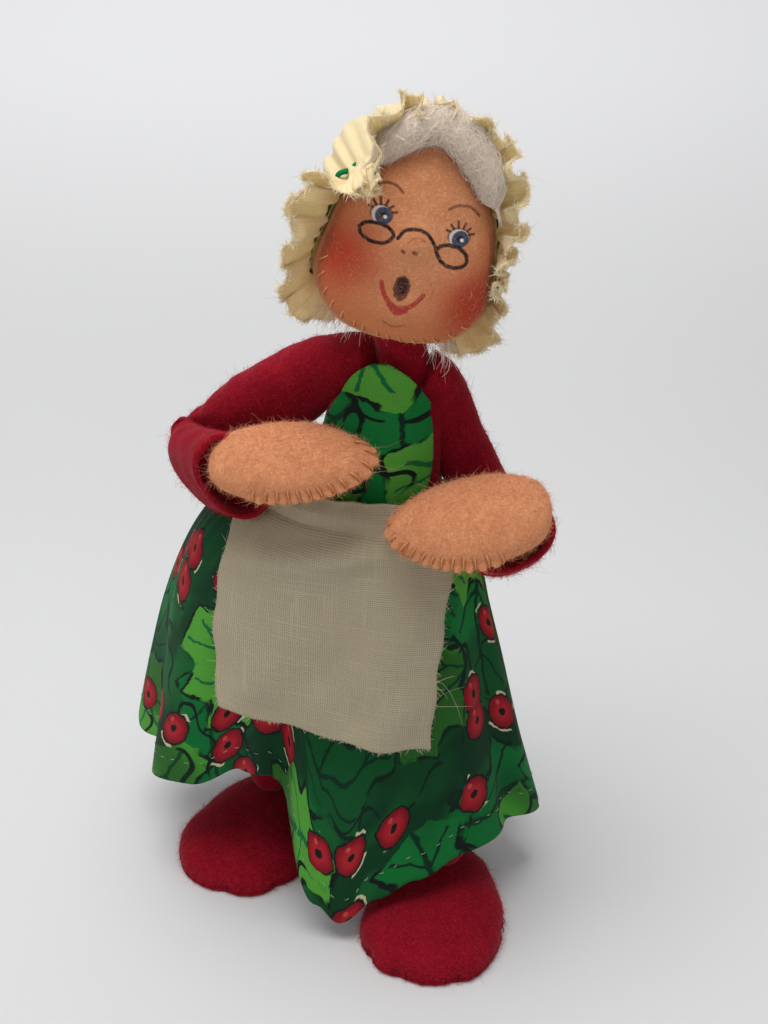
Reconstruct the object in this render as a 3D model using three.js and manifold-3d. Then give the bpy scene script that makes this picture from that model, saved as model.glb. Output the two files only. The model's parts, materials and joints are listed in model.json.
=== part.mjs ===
// Posable felt granny doll: stuffed felt over a wire frame, in a print dress, a muslin apron and
// a gathered mob cap. Sizes are in millimetres, +Z is up and the doll faces -Y.
// Left and right are the doll's own, so its left hand is at +X.
import * as THREE from 'three';
import { mergeVertices } from 'three/addons/utils/BufferGeometryUtils.js';
import Module from 'manifold-3d';

const wasm = await Module();
wasm.setup();

const vec = (x, y, z) => new THREE.Vector3(x, y, z);
const radians = THREE.MathUtils.degToRad;

// Cloth, felt and wire.
const clearance = 0.3;
const feltThickness = 1.2;
const clothThickness = 0.8;
const cardThickness = 1.0;
const wireRadius = 0.8;
const boreRadius = wireRadius + clearance;
const seatGap = 2 * clearance;
const faceTolerance = clearance / 4;
const wireEndCover = 0.8;

// Standing height of the main places, above the floor unless they say otherwise.
const hipHeight = 71;
const shoulderRise = 46.2;
const neckRise = 4.3;
const torsoLength = shoulderRise + neckRise;
const waistShare = 0.416;
const neckHeight = hipHeight + torsoLength;
const shoulderHeight = hipHeight + shoulderRise;
const waistHeight = hipHeight + waistShare * torsoLength;

// Body: share of the torso above the hips, sideways place, half width and half depth of each section.
const bodySections = [
  [0.04, -6, 12.5, 8.5],
  [0.08, -6, 15.5, 11],
  [0.18, -6, 17, 12],
  [0.416, -4, 15, 11],
  [0.575, -2.5, 13, 10.3],
  [0.752, -1, 12.3, 9.8],
  [0.861, 0, 11.6, 8.8],
  [0.931, 1.2, 9.6, 7.4],
  [0.974, 2.2, 6.2, 5.2],
];

// Arms: pivots, lengths, half sizes of the flattened sleeves, and where each part points at rest.
const shoulderSpread = 25.5;
const shoulderMiddle = -0.45;
const shoulderBack = 1.5;
const shoulderRadii = { right: 6.6, left: 5.2 };
const upperArmLength = 36.5;
const forearmLength = 31;
const sleeveHalfWidths = { right: 8.4, left: 7 };
const elbowHalfThickness = 5;
const cuffHalfWidth = 7.4;
const cuffHalfThickness = 6;
const armPoses = {
  right: { upper: vec(-0.83, 0.1, -0.55), fore: vec(0.62, -0.77, 0.2), hand: vec(0.97, -0.07, 0.12) },
  left: { upper: vec(0.391, 0.183, -0.902), fore: vec(0.118, -0.84, 0.529), hand: vec(-0.95, -0.18, -0.2) },
};

// Hands: heel and tip are measured from the wrist pivot along the hand.
const handHeel = 7.5;
const handTip = 27;
const handHalfWidth = 8.6;
const handHalfThickness = 5;
const cuffGap = 0.6 * handHalfThickness;
const handFacing = vec(0, -0.6, 0.8);

// Legs and feet. The pivots at the hips are this far apart, and each foot has its own place.
const hipSpread = 21.5;
const hipMiddle = -5.8;
const hipDepth = 2;
const hipRadius = 6.8;
const kneeShare = 0.5;
const kneeRadius = 6;
const kneeBend = -30;
const ankleHeight = 14;
const ankleRadius = 5.4;
const footLength = 40;
const footWidth = 30;
const footHeight = 9.6;
const ankleBack = 9;
const footPlaces = {
  right: { at: vec(-31, -5, 0), turn: -8 },
  left: { at: vec(16, -21, 0), turn: 4 },
};

// Skirt: a bell whose hem stands at different heights and is pulled in by folds.
const waistGather = 4.6;
const hemHalfWidth = 49;
const hemHalfDepth = 34;
const hemMiddle = vec(-12, 2, 0);
const bellFoot = 15;
const bellRoundness = 0.72;
const bellSkew = 0.18;
const pleatDepth = 0.7;
const pleatCount = 12;
// Each fold has the angle of its middle, its half width in degrees and its depth at the hem.
const skirtFolds = [
  [264, 6, 10],
  [244, 15, 11],
  [192, 7, 11],
  [20, 9, 5],
  [62, 9, 6],
  [104, 9, 6],
  [146, 9, 6],
  [344, 7, 3],
];
// Height of the hem above the floor at each angle; over the left foot it clears that foot.
const hemOverFoot = footHeight + 4;
const hemHeights = [
  [0, 18],
  [60, 16],
  [120, 18],
  [172, 27],
  [185, 21],
  [212, 24],
  [240, 28],
  [256, 32],
  [268, 24],
  [279, 9],
  [285, 5],
  [294, hemOverFoot - 2],
  [304, hemOverFoot - 0.6],
  [322, hemOverFoot],
  [342, 18],
];

// Apron and bib.
const apronWidth = 44;
const apronMiddle = -5.3;
const apronLength = 41;
const apronWrap = 0.8;
const bibHalfWidth = 12;
const bibHeight = 29;

// Head: its outline seen from the front, as sideways and upward places from the middle.
const headRise = 28.2;
const headMiddle = vec(5.3, -4, headRise);
const headTurn = radians(15);
const headTilt = radians(13);
const headLift = radians(-5);
const headOutline = [
  [0, 19.8],
  [6.5, 16.2],
  [11.5, 10.5],
  [14.3, 5],
  [15.6, 0],
  [16.6, -6],
  [16.2, -11],
  [11.5, -15.4],
  [5, -17.2],
  [0, -17.5],
];
const faceDepth = 14.5;
const headBackDepth = 14;
const seamDepth = 7;
const widestDepth = 2;
const seamInset = 0.93;
const noseHeight = 1.6;
const noseWidth = 3.4;

// Neck, hair and cap, in the head's own frame.
const neckRadius = 4.6;
const neckSeat = vec(0.4, 3, -17.2);
const headWireLength = 22;
const hairRadius = 2.6;
const hairDepth = -10;
const napeHairRadius = 1.5;
const napeDrop = 2.1;
const capDepth = 19;
const gatherFront = -3;
const gatherNape = 12.5;
const capPuff = 3.4;
const ruffleLength = 10.5;
const ruffleFlare = radians(52);
const ruffleWave = 2;
const ruffleCount = 13;
const cordRadius = 0.5;
const cordStandOff = 1.9;

const finishes = {
  redFelt: new THREE.MeshStandardMaterial({ color: 0xa8102c, roughness: 0.95, metalness: 0 }),
  peachFelt: new THREE.MeshStandardMaterial({ color: 0xe79a6a, roughness: 0.95, metalness: 0 }),
  greenPrint: new THREE.MeshStandardMaterial({ color: 0x1f7a35, roughness: 0.85, metalness: 0 }),
  muslin: new THREE.MeshStandardMaterial({ color: 0xe6dcbc, roughness: 0.9, metalness: 0 }),
  whiteRoving: new THREE.MeshStandardMaterial({ color: 0xf4f1ea, roughness: 1, metalness: 0 }),
  stuffing: new THREE.MeshStandardMaterial({ color: 0xefefec, roughness: 1, metalness: 0 }),
  greenCord: new THREE.MeshStandardMaterial({ color: 0x128a45, roughness: 0.8, metalness: 0 }),
  card: new THREE.MeshStandardMaterial({ color: 0xb59a72, roughness: 0.9, metalness: 0 }),
  steelWire: new THREE.MeshStandardMaterial({ color: 0x9aa0a5, roughness: 0.4, metalness: 0.9 }),
};

// A closed mesh from its points and faces, turned outwards.
function closedMesh(points, faces) {
  let volume = 0;
  for (const [a, b, c] of faces) volume += points[a].dot(points[b].clone().cross(points[c]));
  const index = volume > 0 ? faces.flat() : faces.map(([a, b, c]) => [a, c, b]).flat();
  const geometry = new THREE.BufferGeometry().setFromPoints(points);
  geometry.setIndex(index);
  return geometry;
}

// A skin over rings of equal count. The ends close on a point, on their own middle, or on each other.
function loft(rings, looped = false) {
  const points = [];
  const faces = [];
  const starts = rings.map((ring) => {
    points.push(...ring);
    return points.length - ring.length;
  });
  const pairs = looped ? rings.length : rings.length - 1;
  for (let i = 0; i < pairs; i += 1) {
    const j = (i + 1) % rings.length;
    const count = Math.max(rings[i].length, rings[j].length);
    for (let k = 0; k < count; k += 1) {
      const next = (k + 1) % count;
      const [a, b] = rings[i].length > 1 ? [starts[i] + k, starts[i] + next] : [starts[i], starts[i]];
      const [c, d] = rings[j].length > 1 ? [starts[j] + k, starts[j] + next] : [starts[j], starts[j]];
      if (a !== b) faces.push([a, b, c]);
      if (c !== d) faces.push([b, d, c]);
    }
  }
  if (!looped) {
    for (const [ring, start, flip] of [[rings[0], starts[0], true], [rings.at(-1), starts.at(-1), false]]) {
      if (ring.length === 1) continue;
      const middle = ring.reduce((sum, p) => sum.add(p), vec(0, 0, 0)).divideScalar(ring.length);
      points.push(middle);
      for (let k = 0; k < ring.length; k += 1) {
        const [a, b] = [start + k, start + ((k + 1) % ring.length)];
        faces.push(flip ? [b, a, points.length - 1] : [a, b, points.length - 1]);
      }
    }
  }
  return closedMesh(points, faces);
}

// Unit normals of a grid of points, row by row; a looped row joins its ends.
function gridNormals(rows, looped) {
  return rows.map((row, i) => row.map((p, k) => {
    const n = row.length;
    const before = looped ? row[(k + n - 1) % n] : row[Math.max(k - 1, 0)];
    const after = looped ? row[(k + 1) % n] : row[Math.min(k + 1, n - 1)];
    const above = rows[Math.max(i - 1, 0)][k];
    const below = rows[Math.min(i + 1, rows.length - 1)][k];
    return after.clone().sub(before).cross(below.clone().sub(above)).normalize();
  }));
}

// A ring of cloth with a thickness, open at its first and last row.
function clothRing(rows, thickness) {
  const normals = gridNormals(rows, true);
  const shift = (side) => rows.map((row, i) => row.map((p, k) => (
    p.clone().addScaledVector(normals[i][k], side * thickness / 2))));
  return loft([...shift(1), ...shift(-1).reverse()], true);
}

// A bag of cloth with a thickness, closed behind its first row and open at its last.
function clothBag(pole, rows, thickness) {
  const normals = gridNormals(rows, true);
  const back = pole.clone().sub(rows[0].reduce((sum, p) => sum.add(p), vec(0, 0, 0)).divideScalar(rows[0].length));
  const outer = normals[0][0].dot(back) > 0 ? 1 : -1;
  const shift = (side) => rows.map((row, i) => row.map((p, k) => (
    p.clone().addScaledVector(normals[i][k], side * thickness / 2))));
  const tip = (side) => [offset(pole, back.clone().normalize(), side * outer * thickness / 2)];
  return loft([tip(1), ...shift(1), ...shift(-1).reverse(), tip(-1)]);
}

// A flat or curved piece of cloth with a thickness and four edges.
function clothSheet(rows, thickness) {
  const normals = gridNormals(rows, false);
  const rings = rows.map((row, i) => {
    const side = (sign) => row.map((p, k) => p.clone().addScaledVector(normals[i][k], sign * thickness / 2));
    return [...side(1), ...side(-1).reverse()];
  });
  const points = rings.flat();
  const n = rings[0].length;
  const faces = [];
  for (let i = 0; i + 1 < rings.length; i += 1) {
    for (let k = 0; k < n; k += 1) {
      const [a, b] = [i * n + k, i * n + ((k + 1) % n)];
      faces.push([a, b, a + n], [b, b + n, a + n]);
    }
  }
  const last = (rings.length - 1) * n;
  for (let k = 0; k + 1 < n / 2; k += 1) {
    const [a, b, c, d] = [k, k + 1, n - 2 - k, n - 1 - k];
    faces.push([b, a, c], [a, d, c]);
    faces.push([last + a, last + b, last + c], [last + a, last + c, last + d]);
  }
  return closedMesh(points, faces);
}

// A body with elliptic sections at given distances along a straight axis.
function limb(start, end, across, sections, sides = 16) {
  const along = end.clone().sub(start).normalize();
  const wide = across.clone().addScaledVector(along, -across.dot(along)).normalize();
  const thin = along.clone().cross(wide);
  return loft(sections.map(([distance, halfWide, halfThin]) => {
    const middle = start.clone().addScaledVector(along, distance);
    if (halfWide === 0) return [middle];
    return Array.from({ length: sides }, (unused, k) => {
      const turn = 2 * Math.PI * k / sides;
      return middle.clone()
        .addScaledVector(wide, halfWide * Math.cos(turn))
        .addScaledVector(thin, halfThin * Math.sin(turn));
    });
  }));
}

// Sections of a limb's rounded end: an ellipsoid about its pivot.
function roundEnd(distance, halfWide, halfThin, side, grow = 0) {
  const steps = [0, 0.45, 0.78, 0.95];
  const sections = steps.map((share) => {
    const size = Math.sqrt(1 - share * share);
    return [distance + side * share * (halfThin + grow), (halfWide + grow) * size, (halfThin + grow) * size];
  });
  sections.push([distance + side * (halfThin + grow), 0, 0]);
  return side < 0 ? sections.reverse() : sections;
}

function rod(start, end, radius, sides = 8) {
  const length = start.distanceTo(end);
  const geometry = new THREE.CylinderGeometry(radius, radius, length, sides);
  const along = end.clone().sub(start).normalize();
  geometry.applyQuaternion(new THREE.Quaternion().setFromUnitVectors(vec(0, 1, 0), along));
  const middle = start.clone().add(end).multiplyScalar(0.5);
  return geometry.translate(middle.x, middle.y, middle.z);
}

function bentRod(points, radius, steps, sides = 6) {
  const section = new THREE.Shape().absarc(0, 0, radius, 0, 2 * Math.PI);
  const path = new THREE.CatmullRomCurve3(points);
  return new THREE.ExtrudeGeometry(section, { extrudePath: path, steps, curveSegments: sides });
}

// A point at a distance from a place, along a direction.
function offset(place, direction, distance) {
  return place.clone().addScaledVector(direction, distance);
}

function ball(middle, radius) {
  return new THREE.SphereGeometry(radius, 14, 8).translate(middle.x, middle.y, middle.z);
}

function solid(geometry) {
  const bare = geometry.clone();
  bare.deleteAttribute('normal');
  bare.deleteAttribute('uv');
  const merged = mergeVertices(bare, 1e-4);
  return new wasm.Manifold(new wasm.Mesh({
    numProp: 3,
    vertProperties: Float32Array.from(merged.attributes.position.array),
    triVerts: Uint32Array.from(merged.index.array),
  }));
}

// The cut body as a mesh, without faces too small to matter.
function geometryOf(body) {
  const mesh = body.simplify(faceTolerance).getMesh();
  const result = new THREE.BufferGeometry();
  result.setAttribute('position', new THREE.BufferAttribute(Float32Array.from(mesh.vertProperties), 3));
  result.setIndex([...mesh.triVerts]);
  return result;
}

function cut(geometry, ...cutters) {
  let rest = solid(geometry);
  for (const cutter of cutters) rest = rest.subtract(solid(cutter));
  return geometryOf(rest);
}

function join(geometry, other) {
  return geometryOf(solid(geometry).add(solid(other)));
}

// Value at an angle, eased between the nearest two entries of a list that goes once round.
function around(list, angle) {
  const turn = ((angle % 360) + 360) % 360;
  let i = list.findLastIndex(([place]) => place <= turn);
  if (i < 0) i = list.length - 1;
  const [from, to] = [list[i], list[(i + 1) % list.length]];
  const span = (to[0] - from[0] + 360) % 360 || 360;
  const share = ((turn - from[0] + 360) % 360) / span;
  return from[1] + (to[1] - from[1]) * (1 - Math.cos(Math.PI * share)) / 2;
}

function add(group, name, geometry, finish) {
  const mesh = new THREE.Mesh(geometry, finishes[finish]);
  mesh.name = name;
  group.add(mesh);
  return mesh;
}

// Section of the body at a height: its sideways place, half width and half depth.
function bodySection(height) {
  const place = (height - hipHeight) / torsoLength;
  const i = Math.min(Math.max(bodySections.findLastIndex(([at]) => at <= place), 0), bodySections.length - 2);
  const [low, high] = [bodySections[i], bodySections[i + 1]];
  const share = THREE.MathUtils.clamp((place - low[0]) / (high[0] - low[0]), 0, 1);
  return [1, 2, 3].map((column) => low[column] + (high[column] - low[column]) * share);
}

function bodyShape(inset, sides = 20) {
  const rings = bodySections.map(([share, x, halfWidth, halfDepth], i) => {
    const lift = i === 0 ? inset : 0;
    const drop = i === bodySections.length - 1 ? inset : 0;
    return Array.from({ length: sides }, (unused, k) => {
      const turn = 2 * Math.PI * k / sides;
      return vec(
        x + (halfWidth - inset) * Math.cos(turn),
        (halfDepth - inset) * Math.sin(turn),
        hipHeight + share * torsoLength + lift - drop,
      );
    });
  });
  return loft(rings);
}

// Pivots in the doll's frame.
const neckPivot = vec(3, 0, neckHeight);
const shoulders = {
  right: vec(shoulderMiddle - shoulderSpread / 2, shoulderBack, shoulderHeight),
  left: vec(shoulderMiddle + shoulderSpread / 2, shoulderBack, shoulderHeight),
};
const hips = {
  right: vec(hipMiddle - hipSpread / 2, hipDepth, hipHeight),
  left: vec(hipMiddle + hipSpread / 2, hipDepth, hipHeight),
};
const sides = ['right', 'left'];
for (const side of sides) {
  for (const part of ['upper', 'fore', 'hand']) armPoses[side][part].normalize();
}
handFacing.normalize();

const doll = new THREE.Group();
const head = new THREE.Group();
head.position.copy(headMiddle).setZ(headMiddle.z + neckHeight);
head.rotation.set(headLift, headTilt, headTurn, 'ZXY');
doll.add(head);
head.updateMatrixWorld(true);
const neckTop = neckSeat.clone().applyMatrix4(head.matrixWorld);
const neckAxis = neckTop.clone().sub(neckPivot).normalize();

// Body felt, stuffing and the wires that run through it.
function buildBody() {
  const sockets = [
    ball(neckPivot, neckRadius + seatGap),
    ...sides.map((side) => ball(shoulders[side], shoulderRadii[side] + seatGap)),
    ...sides.map((side) => ball(hips[side], hipRadius + seatGap)),
  ];
  add(doll, 'body_felt', cut(bodyShape(0), bodyShape(feltThickness), ...sockets), 'redFelt');

  const wireGap = 2 * wireRadius + clearance;
  const shoulderReach = (side) => shoulderRadii[side] + seatGap + clearance;
  const shoulderDip = shoulderHeight - neckRadius;
  const hipTop = hipHeight + hipRadius + seatGap + clearance;
  const spineBack = shoulderBack + wireGap;
  const spineTop = neckPivot.clone().setZ(neckHeight - neckRadius - seatGap - clearance);
  const spinePath = [
    vec(hipMiddle, hipDepth, hipTop + 3 + wireGap),
    vec(bodySection(waistHeight)[0], spineBack, waistHeight),
    vec(shoulderMiddle, spineBack, shoulderDip),
    spineTop,
  ];
  const wires = {
    spine_wire: (radius) => bentRod(spinePath, radius, 7),
    shoulder_wire: (radius) => bentRod([
      offset(shoulders.right, vec(1, 0, 0), shoulderReach('right')),
      vec(shoulderMiddle - 3.5, shoulderBack, shoulderDip),
      vec(shoulderMiddle + 3.5, shoulderBack, shoulderDip),
      offset(shoulders.left, vec(-1, 0, 0), shoulderReach('left')),
    ], radius, 7),
    hip_wire: (radius) => bentRod([
      hips.right.clone().setZ(hipTop),
      vec(hips.right.x + 3, hipDepth, hipTop + 3),
      vec(hips.left.x - 3, hipDepth, hipTop + 3),
      hips.left.clone().setZ(hipTop),
    ], radius, 9),
  };
  const bores = Object.values(wires).map((wire) => wire(boreRadius));
  const core = cut(bodyShape(feltThickness + clearance, 14), ...sockets, ...bores);
  add(doll, 'body_stuffing', core, 'stuffing');
  for (const [name, wire] of Object.entries(wires)) add(doll, name, wire(wireRadius), 'steelWire');
}

// Half size of the bell at a height, as a share of the way from waist to hem.
function bell(turn, height) {
  const share = Math.max((waistHeight - height) / (waistHeight - bellFoot), 0);
  const spread = share ** (bellRoundness + bellSkew * Math.cos(turn));
  const [waistX, waistHalfWidth, waistHalfDepth] = bodySection(waistHeight);
  const middle = vec(waistX, 0, height).lerp(vec(hemMiddle.x, hemMiddle.y, height), spread);
  const halfWidth = THREE.MathUtils.lerp(waistHalfWidth + waistGather, hemHalfWidth, spread);
  const halfDepth = THREE.MathUtils.lerp(waistHalfDepth + waistGather, hemHalfDepth, spread);
  return { middle, halfWidth, halfDepth, share };
}

function skirtPoint(angle, height) {
  const turn = radians(angle);
  const { middle, halfWidth, halfDepth, share } = bell(turn, height);
  const reach = vec(halfWidth * Math.cos(turn), halfDepth * Math.sin(turn), 0);
  let inward = 0;
  for (const [place, halfAngle, depth] of skirtFolds) {
    const away = ((angle - place + 540) % 360) - 180;
    inward += depth * Math.exp(-((away / halfAngle) ** 2)) * share ** 1.5;
  }
  inward += pleatDepth * (1 + Math.sin(pleatCount * turn)) * 4 * Math.max(share * (1 - share), 0);
  return middle.addScaledVector(reach, 1 - inward / reach.length());
}

function buildSkirt() {
  const angles = [];
  for (let angle = 0; angle < 360; angle += angle >= 237 && angle < 291 ? 3 : 8.5) angles.push(angle);
  const shares = [0.05, 0.2, 0.38, 0.56, 0.74, 0.88, 1];
  const [waistX, waistHalfWidth, waistHalfDepth] = bodySection(waistHeight);
  const tuck = clearance + clothThickness / 2;
  const rows = [[tuck, -1.2], [waistGather / 2, 0.6]].map(([out, lift]) => angles.map((angle) => vec(
    waistX + (waistHalfWidth + out) * Math.cos(radians(angle)),
    (waistHalfDepth + out) * Math.sin(radians(angle)),
    waistHeight + lift,
  )));
  for (const share of shares) {
    rows.push(angles.map((angle) => (
      skirtPoint(angle, THREE.MathUtils.lerp(waistHeight, around(hemHeights, angle), share)))));
  }
  add(doll, 'skirt', clothRing(rows, clothThickness), 'greenPrint');
}

// The apron hangs in front of the bell, flatter than the bell itself.
function buildApron() {
  const topHeight = waistHeight + clothThickness + clearance + 1.2;
  const rows = [];
  for (let i = 0; i <= 8; i += 1) {
    const height = topHeight - apronLength * i / 8;
    const { middle, halfWidth, halfDepth } = bell(radians(270), Math.min(height, waistHeight));
    const row = [];
    for (let k = 0; k <= 10; k += 1) {
      const x = apronMiddle + apronWidth * (k / 10 - 0.5);
      const wrap = apronWrap * halfDepth * (x - middle.x) ** 2 / (2 * halfWidth ** 2);
      row.push(vec(x, middle.y - halfDepth - clearance - clothThickness + wrap, height));
    }
    rows.push(row);
  }
  add(doll, 'apron', clothSheet(rows, clothThickness), 'muslin');
}

// The bib lies on the front of the body, with an arched top.
function buildBib() {
  const low = waistHeight + 3;
  const rows = [];
  for (let i = 0; i <= 9; i += 1) {
    const share = i / 9;
    const height = low + bibHeight * share;
    const halfSpan = bibHalfWidth * Math.sqrt(1 - Math.max((share - 0.3) / 0.72, 0) ** 2);
    const [x, halfWidth, halfDepth] = bodySection(Math.min(height, neckHeight - 5));
    const row = [];
    for (let k = 0; k <= 8; k += 1) {
      const sideways = halfSpan * (k / 4 - 1);
      const bend = Math.min(Math.abs(sideways / (halfWidth + 1.2)), 0.97);
      const out = halfDepth + clearance + clothThickness * 0.75;
      row.push(vec(x + sideways, -out * Math.sqrt(1 - bend * bend), height));
    }
    rows.push(row);
  }
  add(doll, 'bib', clothSheet(rows, clothThickness), 'greenPrint');
}

// A hand's outline in its own plane: along from the wrist, and sideways.
function handOutline(inset) {
  const shape = [
    [-handHeel, 0],
    [-handHeel * 0.7, 0.62 * handHalfWidth],
    [0.1 * handTip, 0.93 * handHalfWidth],
    [0.4 * handTip, handHalfWidth],
    [0.68 * handTip, 0.8 * handHalfWidth],
    [0.92 * handTip, 0.42 * handHalfWidth],
    [handTip, 0],
    [0.92 * handTip, -0.42 * handHalfWidth],
    [0.68 * handTip, -0.78 * handHalfWidth],
    [0.4 * handTip, -0.93 * handHalfWidth],
    [0.1 * handTip, -0.93 * handHalfWidth],
    [-handHeel * 0.7, -0.62 * handHalfWidth],
  ];
  const curve = new THREE.CatmullRomCurve3(shape.map(([along, sideways]) => vec(along, 0, sideways)), true);
  const middle = vec((handTip - handHeel) / 2, 0, 0);
  return curve.getPoints(16).slice(0, 16).map((p) => {
    const out = p.clone().sub(middle);
    return middle.clone().addScaledVector(out, 1 - inset / out.length());
  });
}

// Rings from a hand's seam plane up to its crown, on the side that sign says.
function handRings(inset, sign, lift) {
  const outline = handOutline(inset);
  const middle = vec((handTip - handHeel) / 2, 0, 0);
  const rings = [0, 0.4, 0.72, 0.93].map((share) => {
    const size = (1 - share ** 2.2) ** (1 / 2.2);
    const y = sign * (lift + (handHalfThickness - inset - lift) * share);
    return outline.map((p) => middle.clone().addScaledVector(p.clone().sub(middle), size).setY(y));
  });
  rings.push([middle.clone().setY(sign * (handHalfThickness - inset))]);
  return rings;
}

// Frame of a hand at its wrist: X along the hand, Y away from the way it faces.
function handFrame(side, wrist) {
  const group = new THREE.Group();
  const along = armPoses[side].hand;
  const out = handFacing.clone().addScaledVector(along, -handFacing.dot(along)).normalize();
  const basis = new THREE.Matrix4().makeBasis(along, out.clone().negate(), out.clone().cross(along));
  group.quaternion.setFromRotationMatrix(basis);
  group.position.copy(wrist);
  group.updateMatrix();
  doll.add(group);
  return group;
}

function buildHand(side, group) {
  const wire = rod(vec(-0.6 * handHeel, 0, 0), vec(0.75 * handTip, 0, 0), wireRadius);
  const bore = rod(vec(-2 * handHeel, 0, 0), vec(0.75 * handTip + clearance, 0, 0), boreRadius);
  const half = clearance / 2;
  for (const [name, sign] of [['palm_felt', 1], ['back_felt', -1]]) {
    const inner = handRings(feltThickness, sign, half).reverse();
    const shell = loft([...inner, ...handRings(0, sign, half)]);
    add(group, `hand_${name}_${side}`, cut(shell, bore), 'peachFelt');
  }
  const inset = feltThickness + clearance;
  const core = loft([...handRings(inset, -1, 0).reverse(), ...handRings(inset, 1, 0).slice(1)]);
  add(group, `hand_stuffing_${side}`, cut(core, bore), 'stuffing');
  add(group, `hand_wire_${side}`, wire, 'steelWire');
}

// The hand turned at its wrist, as the cuff sees it.
function turnedHand(frame, angle) {
  const halves = [handRings(-seatGap, -1, 0).reverse(), handRings(-seatGap, 1, 0).slice(1)];
  return loft(halves.flat()).rotateY(-radians(angle)).applyMatrix4(frame.matrix);
}

// The body turned about a shoulder, as the arm sees it while it swings.
function turnedBody(pivot, angle) {
  return bodyShape(-seatGap, 12)
    .translate(-pivot.x, -pivot.y, -pivot.z)
    .rotateX(radians(angle))
    .translate(pivot.x, pivot.y, pivot.z);
}

function buildArm(side) {
  const pose = armPoses[side];
  const shoulderRadius = shoulderRadii[side];
  const sleeveHalfWidth = sleeveHalfWidths[side];
  const shoulder = shoulders[side];
  const elbow = shoulder.clone().addScaledVector(pose.upper, upperArmLength);
  const wrist = elbow.clone().addScaledVector(pose.fore, forearmLength);
  const across = pose.upper.clone().cross(pose.fore).normalize();
  const upperSections = (grow) => [
    ...roundEnd(0, shoulderRadius, shoulderRadius, -1, grow),
    [0.35 * upperArmLength, 0.86 * sleeveHalfWidth + grow, 5.6 + grow],
    [0.75 * upperArmLength, sleeveHalfWidth + grow, elbowHalfThickness + 0.3 + grow],
    ...roundEnd(upperArmLength, sleeveHalfWidth, elbowHalfThickness, 1, grow),
  ];
  const lowerSections = [
    [0, sleeveHalfWidth - 0.5, elbowHalfThickness],
    [0.5 * forearmLength, sleeveHalfWidth - 0.2, elbowHalfThickness + 0.2],
    [forearmLength - cuffGap, cuffHalfWidth, cuffHalfThickness],
  ];
  const elbowBend = Math.sin(pose.upper.clone().negate().angleTo(pose.fore));
  const elbowReach = (elbowHalfThickness + seatGap) / Math.min(elbowBend, 1);
  const upperStart = offset(shoulder, pose.upper, wireEndCover - shoulderRadius);
  const upperEnd = offset(elbow, pose.upper, elbowHalfThickness - wireEndCover);
  const lowerStart = offset(elbow, pose.fore, elbowReach + clearance);
  const lowerEnd = offset(wrist, pose.fore, -handHalfWidth - seatGap);
  const upperBore = rod(offset(upperStart, pose.upper, -3), offset(upperEnd, pose.upper, 3), boreRadius);
  const lowerBore = rod(elbow, wrist, boreRadius);
  const bodies = [-8, 0, 8, 16, 24, 32, 40].map((angle) => turnedBody(shoulder, angle));
  const sleeve = cut(limb(shoulder, elbow, across, upperSections(0), 14), ...bodies);
  const upper = cut(join(sleeve, ball(shoulder, shoulderRadius)), upperBore);
  add(doll, `upper_sleeve_${side}`, upper, 'redFelt');
  const blocker = limb(shoulder, elbow, across, upperSections(clearance), 14);
  const frame = handFrame(side, wrist);
  const hands = [-25, -8, 8, 25].map((angle) => turnedHand(frame, angle));
  const lower = limb(elbow, wrist, across, lowerSections, 14);
  add(doll, `lower_sleeve_${side}`, cut(lower, blocker, ...hands, lowerBore), 'redFelt');
  add(doll, `upper_arm_wire_${side}`, rod(upperStart, upperEnd, wireRadius), 'steelWire');
  add(doll, `forearm_wire_${side}`, rod(lowerStart, lowerEnd, wireRadius), 'steelWire');
  buildHand(side, frame);
  return { shoulder, elbow, wrist, across, wristAxis: vec(0, -1, 0).applyQuaternion(frame.quaternion) };
}

// A foot's outline on the floor, toe at -Y, drawn in by an inset.
function footOutline(inset) {
  const [halfWidth, halfLength] = [footWidth / 2, footLength / 2];
  const half = [
    [0, -halfLength],
    [0.62 * halfWidth, -0.88 * halfLength],
    [0.97 * halfWidth, -0.48 * halfLength],
    [halfWidth, -0.05 * halfLength],
    [0.86 * halfWidth, 0.4 * halfLength],
    [0.52 * halfWidth, 0.86 * halfLength],
    [0, halfLength],
  ];
  const other = half.slice(1, -1).reverse().map(([x, y]) => [-x, y]);
  const curve = new THREE.CatmullRomCurve3([...half, ...other].map(([x, y]) => vec(x, y, 0)), true);
  return curve.getPoints(20).slice(0, 20).map((p) => p.multiplyScalar(1 - inset / p.length()));
}

// Rings of the domed upper above a height; its crown lies toward the ankle.
function footRings(inset, low) {
  const outline = footOutline(inset);
  const base = feltThickness + clearance;
  const rise = footHeight - inset;
  const first = (low - base) / rise;
  const rings = [0, 0.35, 0.68, 0.9].map((step) => {
    const share = first + (1 - first) * step;
    const size = (1 - share ** 2.4) ** (1 / 2.4);
    return outline.map((p) => vec(
      p.x * size,
      p.y * size + 0.6 * ankleBack * (1 - size),
      base + rise * share,
    ));
  });
  rings.push([vec(0, 0.6 * ankleBack, base + rise)]);
  return rings;
}

function slab(outline, low, thickness) {
  const shape = new THREE.Shape(outline.map((p) => new THREE.Vector2(p.x, p.y)));
  return new THREE.ExtrudeGeometry(shape, { depth: thickness, bevelEnabled: false }).translate(0, 0, low);
}

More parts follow.
